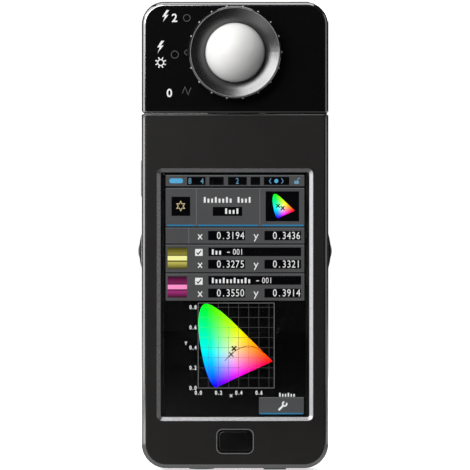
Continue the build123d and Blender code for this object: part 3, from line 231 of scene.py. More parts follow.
# %% Colour of the floor
# Frosted acrylic for the camera, cloth for what mirrors it. Distances are millimetres from under the meter.
frosted, tree, shader, place = finish("frosted_acrylic_sheet", roughness=0.6, specular_ior_level=0.2)
away = add(tree, "ShaderNodeVectorMath", {0: place, 1: (0, 0, 0)}, operation="DISTANCE")
x, y, z = add(tree, "ShaderNodeSeparateXYZ", {0: place}).node.outputs
near = add(tree, "ShaderNodeMapRange", {0: away, 1: 50, 2: 150, 3: 1, 4: 0}, interpolation_type="SMOOTHSTEP")
behind = add(tree, "ShaderNodeMapRange", {0: y, 1: -160, 2: -20, 3: 0, 4: 1}, interpolation_type="SMOOTHSTEP")
outer = add(tree, "ShaderNodeMapRange", {0: away, 1: 80, 2: 240, 3: 0, 4: 0.6},
            interpolation_type="SMOOTHSTEP")
pale = add(tree, "ShaderNodeMath", {0: near, 1: behind}, operation="MAXIMUM")
cloud = add(tree, "ShaderNodeTexNoise", {"Vector": place, "Scale": 1 / 40, "Detail": 2.0})
cloth = add(tree, "ShaderNodeMix", {0: pale, 6: linear("#1c1c1c"), 7: linear("#7c7c7c")}, data_type="RGBA")
sheet = add(tree, "ShaderNodeMix", {0: cloud, 6: linear("#f2f2f2"), 7: linear("#f9f9f9")}, data_type="RGBA")
seen = add(tree, "ShaderNodeLightPath")
floor_colour = add(tree, "ShaderNodeMix", {0: seen, 6: cloth, 7: sheet}, data_type="RGBA")
print("floor finish", frosted.name)

# %% Glow of the floor
# Near the meter it dies away within 90 mm, and at the sides and behind it grows from 80 mm on.
near_glow = add(tree, "ShaderNodeMapRange", {0: away, 1: 40, 2: 90, 3: 0.22, 4: 0.0})
wide_glow = add(tree, "ShaderNodeMath", {0: behind, 1: outer, 2: near_glow}, operation="MULTIPLY_ADD")
# A glowing patch of floor at the front left, standing in for a white card, lights the underside of the dome.
fill_glow_middle = (-250, -270, 0)
off_fill_glow = add(tree, "ShaderNodeVectorMath", {0: place, 1: fill_glow_middle}, operation="DISTANCE")
fill_glow_patch = add(tree, "ShaderNodeMapRange", {0: off_fill_glow, 1: 120, 2: 250, 3: 1.5, 4: 0.0})
mirrored_glow = add(tree, "ShaderNodeMath", {0: wide_glow, 1: fill_glow_patch}, operation="ADD")
seen_glow = add(tree, "ShaderNodeMapRange", {0: away, 1: 60, 2: 700, 3: 0.66, 4: 1.0})
glow = add(tree, "ShaderNodeMix", {0: seen, 2: mirrored_glow, 3: seen_glow})
set_inputs(tree, shader, base_color=floor_colour, emission_strength=glow)
shader.inputs["Emission Color"].default_value = (1, 1, 1, 1)
floor_mesh.materials.append(frosted)
floor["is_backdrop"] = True
print("staged", floor.name)

# %% [markdown]
# ## Black ABS, moulded
#
# Both shells are black ABS. The body's mould is spark-eroded, which leaves a fine satin grain, while the
# head's mould is polished, so the head is nearly a mirror. On the edges of both the shader turns smoother and
# wetter, with a clear coat that mirrors the strips, and paler: that paleness is partly rubbing by hands and
# partly a painted sheen. A mask made from the direction of the surface finds the edges, with no map drawn on
# them.

# %% Satin shell of the body
# Spark-eroded ABS: soft broad sheen, no sharp mirror. The real grain is 0.1 mm, drawn three times coarser,
# because a finer one would vanish in the picture.
satin_abs, tree, shader, place = finish(
    "satin_moulded_abs", specular_ior_level=0.3, coat_ior=3.0, coat_roughness=0.10)
edge = edge_mask(tree, 0.992, 0.955)
# Painted shade at the seam under the head: the edge mask falls to 0.3 there, so that edge is darker, rougher
# and less coated, and its highlight is dimmed.
seam_low, seam_high = 137.0, 138.4
x, y, z = add(tree, "ShaderNodeSeparateXYZ", {0: place}).node.outputs
seam_shade = add(tree, "ShaderNodeMapRange", {0: z, 1: seam_low, 2: seam_high, 3: 1.0, 4: 0.3})
edge = add(tree, "ShaderNodeMath", {0: edge, 1: seam_shade}, operation="MULTIPLY")
cloud = add(tree, "ShaderNodeTexNoise", {"Vector": place, "Scale": 1 / 14, "Detail": 3.0})
grain = add(tree, "ShaderNodeTexNoise", {"Vector": place, "Scale": 1 / 0.3, "Detail": 1.0})
shade = add(tree, "ShaderNodeMapRange", {0: cloud, 1: 0.3, 2: 0.7, 3: 0, 4: 1})
tint = add(tree, "ShaderNodeMix", {0: shade, 6: linear("#141211"), 7: linear("#191716")}, data_type="RGBA")
# Paler on the edges: partly rubbing, partly a painted sheen.
worn = add(tree, "ShaderNodeMix", {0: edge, 6: tint, 7: linear("#211f1e")}, data_type="RGBA")
dull = add(tree, "ShaderNodeMapRange", {0: grain, 1: 0.3, 2: 0.7, 3: 0.41, 4: 0.50})
polished = add(tree, "ShaderNodeMix", {0: edge, 2: dull, 3: 0.30})
relief = add(tree, "ShaderNodeBump", {"Height": grain, "Distance": 0.02 * mm})
set_inputs(tree, shader, base_color=worn, roughness=polished, coat_weight=edge, normal=relief)
dress(satin_abs, "front_casing", "rear_casing", "battery_cover")
print("body shell", satin_abs.name)

# %% Polished shell of the head
# Polished ABS: deep black with sharp mirror images, broken by hair scratches from being wiped.
gloss_abs, tree, shader, place = finish("polished_moulded_abs", coat_ior=3.0, coat_roughness=0.04)
edge = edge_mask(tree, 0.992, 0.955)
hair = add(tree, "ShaderNodeTexNoise", {"Vector": place, "Scale": 1 / 0.8, "Detail": 6.0, "Distortion": 3.0})
wave = add(tree, "ShaderNodeTexNoise", {"Vector": place, "Scale": 1 / 9, "Detail": 1.0})
# Paler on the edges: partly rubbing, partly a painted sheen.
tint = add(tree, "ShaderNodeMix", {0: edge, 6: linear("#080809"), 7: linear("#131314")}, data_type="RGBA")
wiped = add(tree, "ShaderNodeMapRange", {0: hair, 1: 0.35, 2: 0.65, 3: 0.12, 4: 0.22})
relief = add(tree, "ShaderNodeBump", {"Height": wave, "Distance": 0.01 * mm})
set_inputs(tree, shader, base_color=tint, roughness=wiped, coat_weight=edge, normal=relief)
dress(gloss_abs, "head_front_casing", "head_rear_casing")
print("head shell", gloss_abs.name)

# %% [markdown]
# ## Metals
#
# The frame of the window is aluminium, blasted and anodised grey before it was fitted, with a bevel all
# round. It has no colour of its own, only a tint on what it mirrors, so its right and lower bevels, which
# look back at the strips, shine, and the other two stay dim. Screws are blackened steel, the bush is turned
# brass, and the contacts are nickel-plated spring steel.

# %% Window frame
anodised, tree, shader, place = finish("anodised_aluminium", metallic=1.0)
cloud = add(tree, "ShaderNodeTexNoise", {"Vector": place, "Scale": 1 / 6, "Detail": 2.0})
blast = add(tree, "ShaderNodeTexNoise", {"Vector": place, "Scale": 1 / 0.25, "Detail": 1.0})
tint = add(tree, "ShaderNodeMix", {0: cloud, 6: linear("#a3a2a4"), 7: linear("#b1b0b2")}, data_type="RGBA")
rough = add(tree, "ShaderNodeMapRange", {0: blast, 1: 0.3, 2: 0.7, 3: 0.24, 4: 0.34})
relief = add(tree, "ShaderNodeBump", {"Height": blast, "Distance": 0.008 * mm})
set_inputs(tree, shader, base_color=tint, roughness=rough, normal=relief)
dress(anodised, "window_bezel")
print("window frame", anodised.name)


# %% Turned and rolled metals
def small_metal(name, dark, light, rough, spacing, *names):
    """Metal with stains of two tones and turning or rolling lines of that spacing in millimetres."""
    material, tree, shader, place = finish(name, metallic=1.0)
    stain = add(tree, "ShaderNodeTexNoise", {"Vector": place, "Scale": 1 / 1.6, "Detail": 3.0})
    lines = add(tree, "ShaderNodeTexWave", {"Vector": place, "Scale": 0.314 / spacing, "Distortion": 1.5},
                bands_direction="Z")
    tint = add(tree, "ShaderNodeMix", {0: stain, 6: linear(dark), 7: linear(light)}, data_type="RGBA")
    worn = add(tree, "ShaderNodeMapRange", {0: stain, 1: 0.3, 2: 0.7, 3: rough, 4: rough + 0.12})
    relief = add(tree, "ShaderNodeBump", {"Height": lines, "Distance": 0.01 * mm})
    set_inputs(tree, shader, base_color=tint, roughness=worn, normal=relief)
    dress(material, *names)
    return material


small_metal("blackened_steel", "#1b1b1e", "#2d2d31", 0.28, 0.3,
            "board_screws", "body_screws", "head_screws", "optical_screws", "leaf_screw")
small_metal("nickel_plated_spring_steel", "#a5a49d", "#cbc9c1", 0.20, 0.25,
            "battery_contacts", "click_leaf", "swivel_spring", "swivel_clip", "ring_clip")
brass = small_metal("turned_brass", "#a3844a", "#cfb374", 0.22, 0.2, "tripod_bush")
small_metal("tin_plated_steel", "#8b8b8d", "#b6b6b8", 0.28, 0.35, "synchro_terminal", "usb_socket")
small_metal("turned_aluminium", "#8c8c90", "#afafb3", 0.26, 0.2, "swivel_hub")
print("metals", len([m for m in bpy.data.materials if "steel" in m.name]))

# %% [markdown]
# ## The dial
#
# The ring is black and glossy outside, and its mouth is a satin cone that throws the key light back from its
# lower right, while the rest stays black. Where the mouth begins is a matter of distance from the dial's
# axis, so one finish can hold both. The dome is opal polycarbonate, which takes light in and gives it back
# soft: light wanders about two millimetres under its face, and it has a faint warm tone and the finest grain.

# %% Ring
dial_z = 163.05
mouth_radius = 17.2
ring_black, tree, shader, place = finish(
    "glossy_and_satin_ring_abs", ior=1.75, specular_ior_level=0.8, coat_ior=2.0, coat_roughness=0.05)
centred = add(tree, "ShaderNodeMapping", {"Vector": place, "Location": (0, 0, -dial_z)})
x, y, z = add(tree, "ShaderNodeSeparateXYZ", {0: centred}).node.outputs
flat = add(tree, "ShaderNodeCombineXYZ", {0: x, 1: z})
radius = add(tree, "ShaderNodeVectorMath", {0: flat, 1: (0, 0, 0)}, operation="DISTANCE")
mouth = add(tree, "ShaderNodeMapRange",
            {0: radius, 1: mouth_radius - 0.02, 2: mouth_radius + 0.02, 3: 1, 4: 0})
rim = add(tree, "ShaderNodeMath", {0: 1.0, 1: mouth}, operation="SUBTRACT")
swirl = add(tree, "ShaderNodeTexNoise", {"Vector": place, "Scale": 1 / 2.5, "Detail": 2.0})
black = add(tree, "ShaderNodeMix", {0: swirl, 6: linear("#050506"), 7: linear("#0b0b0c")}, data_type="RGBA")
# A painted highlight on the lip: a pale line 0.25 mm wide, right outside the mouth.
off_lip = add(tree, "ShaderNodeMath", {0: radius, 1: mouth_radius + 0.12}, operation="SUBTRACT")
off_lip = add(tree, "ShaderNodeMath", {0: off_lip}, operation="ABSOLUTE")
lip_highlight = add(tree, "ShaderNodeMapRange", {0: off_lip, 1: 0.08, 2: 0.16, 3: 1, 4: 0})
tint = add(tree, "ShaderNodeMix", {0: lip_highlight, 6: black, 7: linear("#8f8f8f")}, data_type="RGBA")
gloss = add(tree, "ShaderNodeMix", {0: mouth, 2: 0.20, 3: 0.27})
# The cone is turned in fine steps, each facing 12 degrees more to the front than the cone as a whole. That
# lets it mirror what stands beyond the dome. The ripple of the tool is 0.25 mm, twice as coarse as the real:
# 25 radians to the millimetre.
ripple_rate, ripple_height = 25.0, 0.006
steps = add(tree, "ShaderNodeMath", {0: radius, 1: mouth_radius}, operation="MINIMUM")
turned = add(tree, "ShaderNodeMath", {0: radius, 1: ripple_rate}, operation="MULTIPLY")
ripple = add(tree, "ShaderNodeMath", {0: turned}, operation="SINE")
profile = add(tree, "ShaderNodeMath", {0: ripple, 1: ripple_height, 2: steps}, operation="MULTIPLY_ADD")
relief = add(tree, "ShaderNodeBump", {"Height": profile, "Distance": 0.25 * mm}, invert=True)
set_inputs(tree, shader, base_color=tint, roughness=gloss, coat_weight=rim, normal=relief)
dress(ring_black, "selection_ring")
print("mouth of the ring", mouth_radius, "mm round height", dial_z)

# %% Dome
opal, tree, shader, place = finish("opal_polycarbonate", subsurface_weight=0.6, specular_ior_level=0.3)
shader.inputs["Subsurface Radius"].default_value = (1.0, 0.95, 0.85)
shader.inputs["Subsurface Scale"].default_value = 2.5 * mm
cloud = add(tree, "ShaderNodeTexNoise", {"Vector": place, "Scale": 1 / 5, "Detail": 2.0})
grain = add(tree, "ShaderNodeTexNoise", {"Vector": place, "Scale": 1 / 0.3, "Detail": 1.0})
milk = add(tree, "ShaderNodeMix", {0: cloud, 6: linear("#e0dfdd"), 7: linear("#e9e8e6")}, data_type="RGBA")
rough = add(tree, "ShaderNodeMapRange", {0: grain, 1: 0.3, 2: 0.7, 3: 0.40, 4: 0.48})
relief = add(tree, "ShaderNodeBump", {"Height": grain, "Distance": 0.006 * mm})
set_inputs(tree, shader, base_color=milk, roughness=rough, normal=relief)
dress(opal, "dome")
print("dome", opal.name)

# %% [markdown]
# ## Rubber, glass and what is inside
#
# The keys on the sides and the socket caps are soft rubber, the key in front is polished. The boards, the
# cells and the optics only show when the cover is off or through a gap, but each has its own finish. They
# differ in tone, roughness and grain and are otherwise built alike, so one function makes them all.


# %% Moulded and coated finishes
def moulded(name, dark, light, rough, grain_size, depth, *names, **values):
    """Two near tones in clouds, a roughness, and a grain of that size and depth in millimetres."""
    material, tree, shader, place = finish(name, **values)
    cloud = add(tree, "ShaderNodeTexNoise", {"Vector": place, "Scale": 1 / (grain_size * 12), "Detail": 3.0})
    grain = add(tree, "ShaderNodeTexNoise", {"Vector": place, "Scale": 1 / grain_size, "Detail": 1.0})
    shade = add(tree, "ShaderNodeMapRange", {0: cloud, 1: 0.3, 2: 0.7, 3: 0, 4: 1})
    tint = add(tree, "ShaderNodeMix", {0: shade, 6: linear(dark), 7: linear(light)}, data_type="RGBA")
    worn = add(tree, "ShaderNodeMapRange", {0: cloud, 1: 0.3, 2: 0.7, 3: rough, 4: rough + 0.08})
    relief = add(tree, "ShaderNodeBump", {"Height": grain, "Distance": depth * mm})
    set_inputs(tree, shader, base_color=tint, roughness=worn, normal=relief)
    dress(material, *names)


moulded("soft_key_rubber", "#1a1a1b", "#242425", 0.44, 0.35, 0.02,
        "measuring_button_left", "measuring_button_right", "memory_button", "power_button")
moulded("socket_cap_rubber", "#1c1c1d", "#252526", 0.58, 0.4, 0.02, "synchro_cap", "usb_cap")
moulded("polished_key_abs", "#070606", "#0b0a0a", 0.12, 0.6, 0.003, "menu_button")
moulded("closed_cell_foam", "#161616", "#202020", 0.85, 0.3, 0.05, "display_gasket")
moulded("solder_mask", "#0f4a26", "#14592e", 0.35, 0.5, 0.01, "main_board", "sensor_board")
moulded("black_nylon", "#202022", "#2a2a2c", 0.5, 0.4, 0.02, "button_switches")
moulded("slip_washer_acetal", "#cfcfca", "#dadad6", 0.4, 0.5, 0.01, "swivel_washer")
moulded("black_optical_paint", "#0b0b0c", "#131314", 0.7, 0.3, 0.02,
        "dome_retainer", "shutter_disc", "optical_bench", "optical_cover", "entrance_slit")
moulded("clear_acrylic", "#e6eeee", "#eef4f4", 0.04, 1.5, 0.001, "light_guide", "fold_mirror",
        transmission_weight=0.9)
moulded("ruled_mirror", "#b9bbc8", "#c6c8d6", 0.08, 0.2, 0.004, "diffraction_grating", metallic=1.0)
moulded("dark_ceramic", "#2e2a30", "#37333a", 0.45, 0.3, 0.01, "line_sensor")
moulded("cable_sheath_pvc", "#1b1b1c", "#242425", 0.5, 0.4, 0.02, "head_cable")
moulded("display_glass_black", "#030304", "#060608", 0.16, 0.8, 0.001, "display_module")
print("finishes", len(bpy.data.materials))

# %% Cells in their printed sleeves
# A shrink sleeve over each cell: metallic ink in two fields, with a sharp line between them.
sleeve, tree, shader, place = finish("printed_cell_sleeve", metallic=0.7)
cells_low, cells_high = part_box("battery_cells")
field_line = (cells_low.z + 0.72 * (cells_high.z - cells_low.z)) / mm
x, y, z = add(tree, "ShaderNodeSeparateXYZ", {0: place}).node.outputs
step = add(tree, "ShaderNodeMapRange", {0: z, 1: field_line - 0.1, 2: field_line + 0.1, 3: 0, 4: 1})
smudge = add(tree, "ShaderNodeTexNoise", {"Vector": place, "Scale": 1 / 4, "Detail": 4.0})
tint = add(tree, "ShaderNodeMix", {0: step, 6: linear("#2a2c31"), 7: linear("#b08a54")}, data_type="RGBA")
rough = add(tree, "ShaderNodeMapRange", {0: smudge, 1: 0.3, 2: 0.7, 3: 0.22, 4: 0.36})
relief = add(tree, "ShaderNodeBump", {"Height": smudge, "Distance": 0.01 * mm})
set_inputs(tree, shader, base_color=tint, roughness=rough, normal=relief)
dress(sleeve, "battery_cells")
print("fields of the sleeve meet at", round(field_line, 2), "mm")

# %% Cover glass
# Float glass with a fingerprint-proof coat: clear, with faint smears that only show where it mirrors.
cover_glass, tree, shader, place = finish("float_glass", transmission_weight=1.0, ior=1.5)
shader.inputs["Base Color"].default_value = linear("#fbfcfc")
smear = add(tree, "ShaderNodeTexNoise", {"Vector": place, "Scale": 1 / 11, "Detail": 3.0, "Distortion": 1.2})
greasy = add(tree, "ShaderNodeMapRange", {0: smear, 1: 0.45, 2: 0.75, 3: 0.0, 4: 0.03})
set_inputs(tree, shader, roughness=greasy)
dress(cover_glass, "touch_panel")
print("glass", cover_glass.name)

# %% [markdown]
# ## Thin plates
#
# Printed signs and lit shapes have hardly any height, but a flat face with no thickness has no outside and
# doesn't export well. So each is a thin closed plate: an outline in the plane of the front, given a back and
# a front.


# %% Plates
def plate(form, outline, back, front):
    """Closed plate from an outline of (x, z) points, between two depths in millimetres."""
    rear = [form.verts.new((x * mm, back * mm, z * mm)) for x, z in outline]
    face = [form.verts.new((x * mm, front * mm, z * mm)) for x, z in outline]
    form.faces.new(rear)
    form.faces.new(face)
    for i in range(len(outline)):
        j = (i + 1) % len(outline)
        form.faces.new((rear[i], rear[j], face[j], face[i]))


def round_outline(x, z, radius_x, radius_z, count=32):
    """Points of an ellipse."""
    turns = [2 * math.pi * i / count for i in range(count)]
    return [(x + radius_x * math.cos(t), z + radius_z * math.sin(t)) for t in turns]


print("an ellipse has", len(round_outline(0, 0, 1, 1)), "points")

# %% [markdown]
# A line is a plate too, with an outline that runs along both its sides. At a bend the sides meet as in a
# mitred frame: further out, the sharper the bend is.


# %% Lines
def line_sides(points, width, closed=False):
    """Both sides of a line of that width, with mitred corners."""
    count = len(points)
    left, right = [], []
    for i in range(count):
        here = Vector(points[i])
        ways = []
        if i or closed:
            ways.append((here - Vector(points[i - 1])).normalized())
        if i < count - 1 or closed:
            ways.append((Vector(points[(i + 1) % count]) - here).normalized())
        middle = sum(ways, Vector((0, 0))).normalized()
        side = Vector((-middle.y, middle.x))
        reach = width / 2 / max(0.35, abs(side.dot(Vector((-ways[0].y, ways[0].x)))))
        left.append(tuple(here + side * reach))
        right.append(tuple(here - side * reach))
    return left, right


def line(form, points, width, back, front):
    """Open line as a plate."""
    left, right = line_sides(points, width)
    plate(form, left + right[::-1], back, front)


def loop(form, points, width, back, front):
    """Closed line as a ring with two walls, a face and a rear."""
    rings = [[form.verts.new((x * mm, y * mm, z * mm)) for x, z in side]
             for side in line_sides(points, width, closed=True) for y in (back, front)]
    for a, b in ((0, 1), (1, 3), (3, 2), (2, 0)):
        for i in range(len(points)):
            j = (i + 1) % len(points)
            form.faces.new((rings[a][i], rings[a][j], rings[b][j], rings[b][i]))


print("a line 1 mm wide has its sides at", line_sides([(0, 0), (1, 0)], 1.0))

# %% [markdown]
# A form becomes a piece when it gets a name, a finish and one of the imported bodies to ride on, so that it
# moves with it.


# %% Pieces
def piece(name, form, body, material):
    """Turn a form into a named piece that rides on a body."""
    bmesh.ops.recalc_face_normals(form, faces=form.faces)
    mesh = bpy.data.meshes.new(name)
    form.to_mesh(mesh)
    form.free()
    mesh.materials.append(material)
    made = bpy.data.objects.new(name, mesh)
    bpy.context.scene.collection.objects.link(made)
    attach(made, body)
    print(name, len(mesh.polygons), "faces")
    return made


print("pieces join", len(parts), "packed parts")

# %% [markdown]
# Numbers are plates too. The built-in font draws each sign once, one unit thick, with its loose corners
# merged so that it is closed. It is then set at its place, scaled to its height and pressed flat.


# %% Helper for numerals
digit_height = 0.69
drawn_signs = {}


def numeral(form, sign, x, z, height, weight, narrow, back, front):
    """One sign of the built-in font, centred at x and standing on z, pressed into a plate."""
    if (sign, weight) not in drawn_signs:
        curve = bpy.data.curves.new("sign", "FONT")
        curve.body = sign
        curve.resolution_u = 3
        curve.extrude = 0.5
        curve.offset = weight
        holder = bpy.data.objects.new("sign", curve)
        bpy.context.scene.collection.objects.link(holder)
        bpy.context.view_layer.update()
        drawn = bpy.data.meshes.new_from_object(holder.evaluated_get(bpy.context.evaluated_depsgraph_get()))
        shape = bmesh.new()
        shape.from_mesh(drawn)
        bmesh.ops.remove_doubles(shape, verts=shape.verts, dist=0.0005)
        shape.verts.index_update()
        drawn_signs[sign, weight] = ([v.co.copy() for v in shape.verts],
                                     [[v.index for v in face.verts] for face in shape.faces])
        shape.free()
        bpy.data.objects.remove(holder)
        bpy.data.curves.remove(curve)
        bpy.data.meshes.remove(drawn)
    points, faces = drawn_signs[sign, weight]
    scale = height / digit_height
    middle = (min(p.x for p in points) + max(p.x for p in points)) / 2
    made = []
    for p in points:
        y = back + (front - back) * (p.z + 0.5)
        across = x + (p.x - middle) * scale * narrow
        made.append(form.verts.new((across * mm, y * mm, (z + p.y * scale) * mm)))
    for face in faces:
        form.faces.new([made[i] for i in face])


print("digits of the font are", digit_height, "of its size")

# %% [markdown]
# ## White signs on the head
#
# Beside the dial stand the signs of its three positions: flash with a number, flash or steady light, and the
# setting for zero. They are pad-printed in white ink 0.03 mm thick. A bolt and a sun are plain outlines of a
# few points, and the numbers come from the built-in font.

# %% Signs
head_face = -7.0
ink_front = head_face - 0.03
ink, tree, shader, place = finish("white_printing_ink", roughness=0.5)
speck = add(tree, "ShaderNodeTexNoise", {"Vector": place, "Scale": 1 / 0.4, "Detail": 2.0})
tint = add(tree, "ShaderNodeMix", {0: speck, 6: linear("#d9d9d8"), 7: linear("#f4f4f3")}, data_type="RGBA")
relief = add(tree, "ShaderNodeBump", {"Height": speck, "Distance": 0.004 * mm})
set_inputs(tree, shader, base_color=tint, normal=relief)

bolt = [(0.62, 1.0), (0.10, 0.44), (0.42, 0.46), (0.16, 0.0), (0.86, 0.60), (0.52, 0.58), (0.95, 1.0)]
signs = bmesh.new()
for low_x, low_z in ((-28.7, 175.0), (-30.7, 163.0)):
    plate(signs, [(low_x + 3.2 * u, low_z + 4.7 * v) for u, v in bolt], head_face, ink_front)
for number, middle_x, low_z in (("2", -23.6, 175.1), ("0", -25.6, 145.8)):
    numeral(signs, number, middle_x, low_z, 3.1, 0.02, 1.0, head_face, ink_front)
sun = Vector((-29.0, 159.2))
loop(signs, round_outline(sun.x, sun.y, 1.15, 1.15, 24), 0.42, head_face, ink_front)
for ray in range(8):
    way = Vector((math.cos(math.pi * (ray + 0.5) / 4), math.sin(math.pi * (ray + 0.5) / 4)))
    line(signs, [tuple(sun + way * 1.45), tuple(sun + way * 2.2)], 0.46, head_face, ink_front)
piece("head_signs", signs, "head", ink)

# %% [markdown]
# ## Raised marks round the dial
#
# Each position has a mark that the pointer of the ring meets: two small rings and a zigzag. They are moulded
# with the head and stand 0.15 mm proud, and their pale grey tone is a painted highlight.


# %% Marks
def pale_abs(name, dark, light):
    """Black ABS made paler, in blotches of half a millimetre, between two given tones."""
    material, tree, shader, place = finish(name, specular_ior_level=0.6)
    blotches = add(tree, "ShaderNodeTexNoise", {"Vector": place, "Scale": 1 / 0.5, "Detail": 2.0})
    tint = add(tree, "ShaderNodeMix", {0: blotches, 6: linear(dark), 7: linear(light)}, data_type="RGBA")
    rough = add(tree, "ShaderNodeMapRange", {0: blotches, 1: 0.3, 2: 0.7, 3: 0.25, 4: 0.4})
    relief = add(tree, "ShaderNodeBump", {"Height": blotches, "Distance": 0.01 * mm})
    set_inputs(tree, shader, base_color=tint, roughness=rough, normal=relief)
    return material


mark_front = head_face - 0.15
# Pale grey: a painted highlight on the marks, and on the pointer's line below.
marks_highlight_paint = pale_abs("raised_marks_painted_highlight", "#3c3b3c", "#565556")
marks = bmesh.new()
loop(marks, round_outline(-18.8, 176.6, 1.3, 1.3), 0.32, head_face, mark_front)
loop(marks, round_outline(-23.5, 162.3, 1.4, 1.4), 0.32, head_face, mark_front)
line(marks, [(-20.6, 147.2), (-19.5, 149.7), (-18.3, 146.6), (-17.2, 149.4)], 0.3, head_face, mark_front)
piece("position_marks", marks, "head", marks_highlight_paint)

# %% Line on the pointer
# The pointer of the ring ends in a round tip, and a low moulded line follows it, pale grey as a painted
# highlight.
pointer_face = -8.7
tip_x, tip_wide, tip_high = -18.5, 1.15, 1.0
pointer_line = bmesh.new()
turns = [math.radians(100 + 20 * i) for i in range(9)]
tip = [(tip_x + tip_wide * math.cos(t), dial_z + tip_high * math.sin(t)) for t in turns]
line(pointer_line, tip, 0.28, pointer_face, pointer_face - 0.08)
piece("pointer_line", pointer_line, "dial", marks_highlight_paint)

# %% [markdown]
# ## Frame of the menu key
#
# A low moulded frame round the menu key keeps the thumb from sliding onto it by mistake. It is a closed line:
# four straight sides and four quarter circles.

# %% Key frame
body_face = -7.0
key_z = 11.35
half_wide, half_high, corner_round = 7.15, 4.75, 2.3
outline = []
for quarter, (side_x, side_z) in enumerate(((1, 1), (-1, 1), (-1, -1), (1, -1))):
    for i in range(9):
        t = math.radians(90 * quarter + 90 * i / 8)
        outline.append((side_x * (half_wide - corner_round) + corner_round * math.cos(t),
                        key_z + side_z * (half_high - corner_round) + corner_round * math.sin(t)))
key_frame = bmesh.new()
loop(key_frame, outline, 0.34, body_face, body_face - 0.12)
# The frame is pale grey.
piece("key_frame", key_frame, "body", pale_abs("pale_frame_abs", "#5f5e5e", "#7b7a7a"))

# %% [markdown]
# ## Geometry Nodes
#
# What follows a rule is grown by Geometry Nodes: the caps of the nubs, the grid of the chart and the thread.
# A group gets named inputs for its sizes. It is run once on an empty mesh, and what comes out is kept as a
# plain mesh, because an export keeps no modifiers and no instances.


# %% Helpers for Geometry Nodes
input_kinds = {int: "NodeSocketInt", float: "NodeSocketFloat", tuple: "NodeSocketVector",
               bpy.types.Material: "NodeSocketMaterial"}


def group_with(name, **inputs):
    """Geometry node group with inputs named by their title. Returns it, its inputs and its output node."""
    group = bpy.data.node_groups.new(name, "GeometryNodeTree")
    group.interface.new_socket("Geometry", in_out="OUTPUT", socket_type="NodeSocketGeometry")
    for title, value in inputs.items():
        group.interface.new_socket(title, in_out="INPUT", socket_type=input_kinds[type(value)])
    given = group.nodes.new("NodeGroupInput")
    return group, {socket.name: socket for socket in given.outputs}, group.nodes.new("NodeGroupOutput")


def grow(name, group, body, slot, **values):
    """Run a group on an empty mesh and keep what it makes as a plain piece on a body."""
    made = bpy.data.objects.new(name, bpy.data.meshes.new("empty"))
    bpy.context.scene.collection.objects.link(made)
    modifier = made.modifiers.new("grow", "NODES")
    modifier.node_group = group
    for item in group.interface.items_tree:
        if item.in_out == "INPUT":
            modifier[item.identifier] = values[item.name]
    bpy.context.view_layer.update()
    mesh = bpy.data.meshes.new_from_object(made.evaluated_get(bpy.context.evaluated_depsgraph_get()))
    made.modifiers.remove(modifier)
    made.data = mesh
    mesh.name = name
    mesh.materials.clear()
    mesh.materials.append(values["Finish"])
    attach(made, body)
    print(name, len(mesh.polygons), "faces")


print("kinds of inputs", len(input_kinds))

# %% [markdown]
# ## Caps on the nubs
#
# The grip of the ring has a nub every 20 degrees, except where the pointer is. Each nub ends in a low round
# cap, painted pale grey as its highlight, so that it shows as a dot. The tree takes a circle of points,
# leaves out the one at the pointer and sets a flattened ball on each of the others.

# %% Nub caps
cap_highlight_paint, tree, shader, place = finish(
    "nub_caps_painted_highlight", specular_ior_level=0.8, coat_weight=1.0, coat_ior=2.0, coat_roughness=0.16)
blotches = add(tree, "ShaderNodeTexNoise", {"Vector": place, "Scale": 1 / 0.4, "Detail": 2.0})
# Pale grey tone: a painted highlight on every cap.
tint = add(tree, "ShaderNodeMix", {0: blotches, 6: linear("#707071"), 7: linear("#929293")}, data_type="RGBA")
rough = add(tree, "ShaderNodeMapRange", {0: blotches, 1: 0.3, 2: 0.7, 3: 0.2, 4: 0.34})
set_inputs(tree, shader, base_color=tint, roughness=rough)

nub_top = -11.22
cap_sizes = {"Nubs": 18, "Ring Radius": 18.08 * mm, "Cap Radius": 0.4 * mm, "Cap Height": 0.28 * mm,
             "Centre": (0.0, nub_top * mm, dial_z * mm), "Finish": cap_highlight_paint}
caps, given, result = group_with("nub_caps", **cap_sizes)
circle = add(caps, "GeometryNodeMeshCircle", {"Vertices": given["Nubs"], "Radius": given["Ring Radius"]})
half = add(caps, "ShaderNodeMath", {0: given["Nubs"], 1: 0.5}, operation="MULTIPLY")
index = add(caps, "GeometryNodeInputIndex")
at_pointer = add(caps, "FunctionNodeCompare", {"A": index, "B": half}, data_type="FLOAT", operation="EQUAL")
others = add(caps, "GeometryNodeDeleteGeometry", {"Geometry": circle, "Selection": at_pointer},
             domain="POINT")
ball = add(caps, "GeometryNodeMeshUVSphere", {"Segments": 20, "Rings": 12, "Radius": 1.0})
size = add(caps, "ShaderNodeCombineXYZ",
           {0: given["Cap Radius"], 1: given["Cap Radius"], 2: given["Cap Height"]})
low_cap = add(caps, "GeometryNodeTransform", {"Geometry": ball, "Scale": size})
set_on = add(caps, "GeometryNodeInstanceOnPoints", {"Points": others, "Instance": low_cap})
facing_front = add(caps, "GeometryNodeTransform", {
    "Geometry": set_on, "Rotation": (math.radians(90), 0, 0), "Translation": given["Centre"]})
real = add(caps, "GeometryNodeRealizeInstances", {"Geometry": facing_front})
done = add(caps, "GeometryNodeSetMaterial", {"Geometry": real, "Material": given["Finish"]})
caps.links.new(done, result.inputs[0])
grow("nub_caps", caps, "dial", "ring_black", **cap_sizes)

# %% [markdown]
# ## The screen
#
# The display has 480 by 800 dots on 54.2 by 93.9 mm, so the picture on it is laid out in dots, from its
# upper left corner, as its own software would. Grey panels hold black fields with numbers, two samples
# carry the colours of two readings, and the lower half is a chart. Words are only rows of small blocks. The
# shapes are thin lit plates in the gap between the display and the glass, each layer a hair higher than the
# one below, so they never fight for one depth.

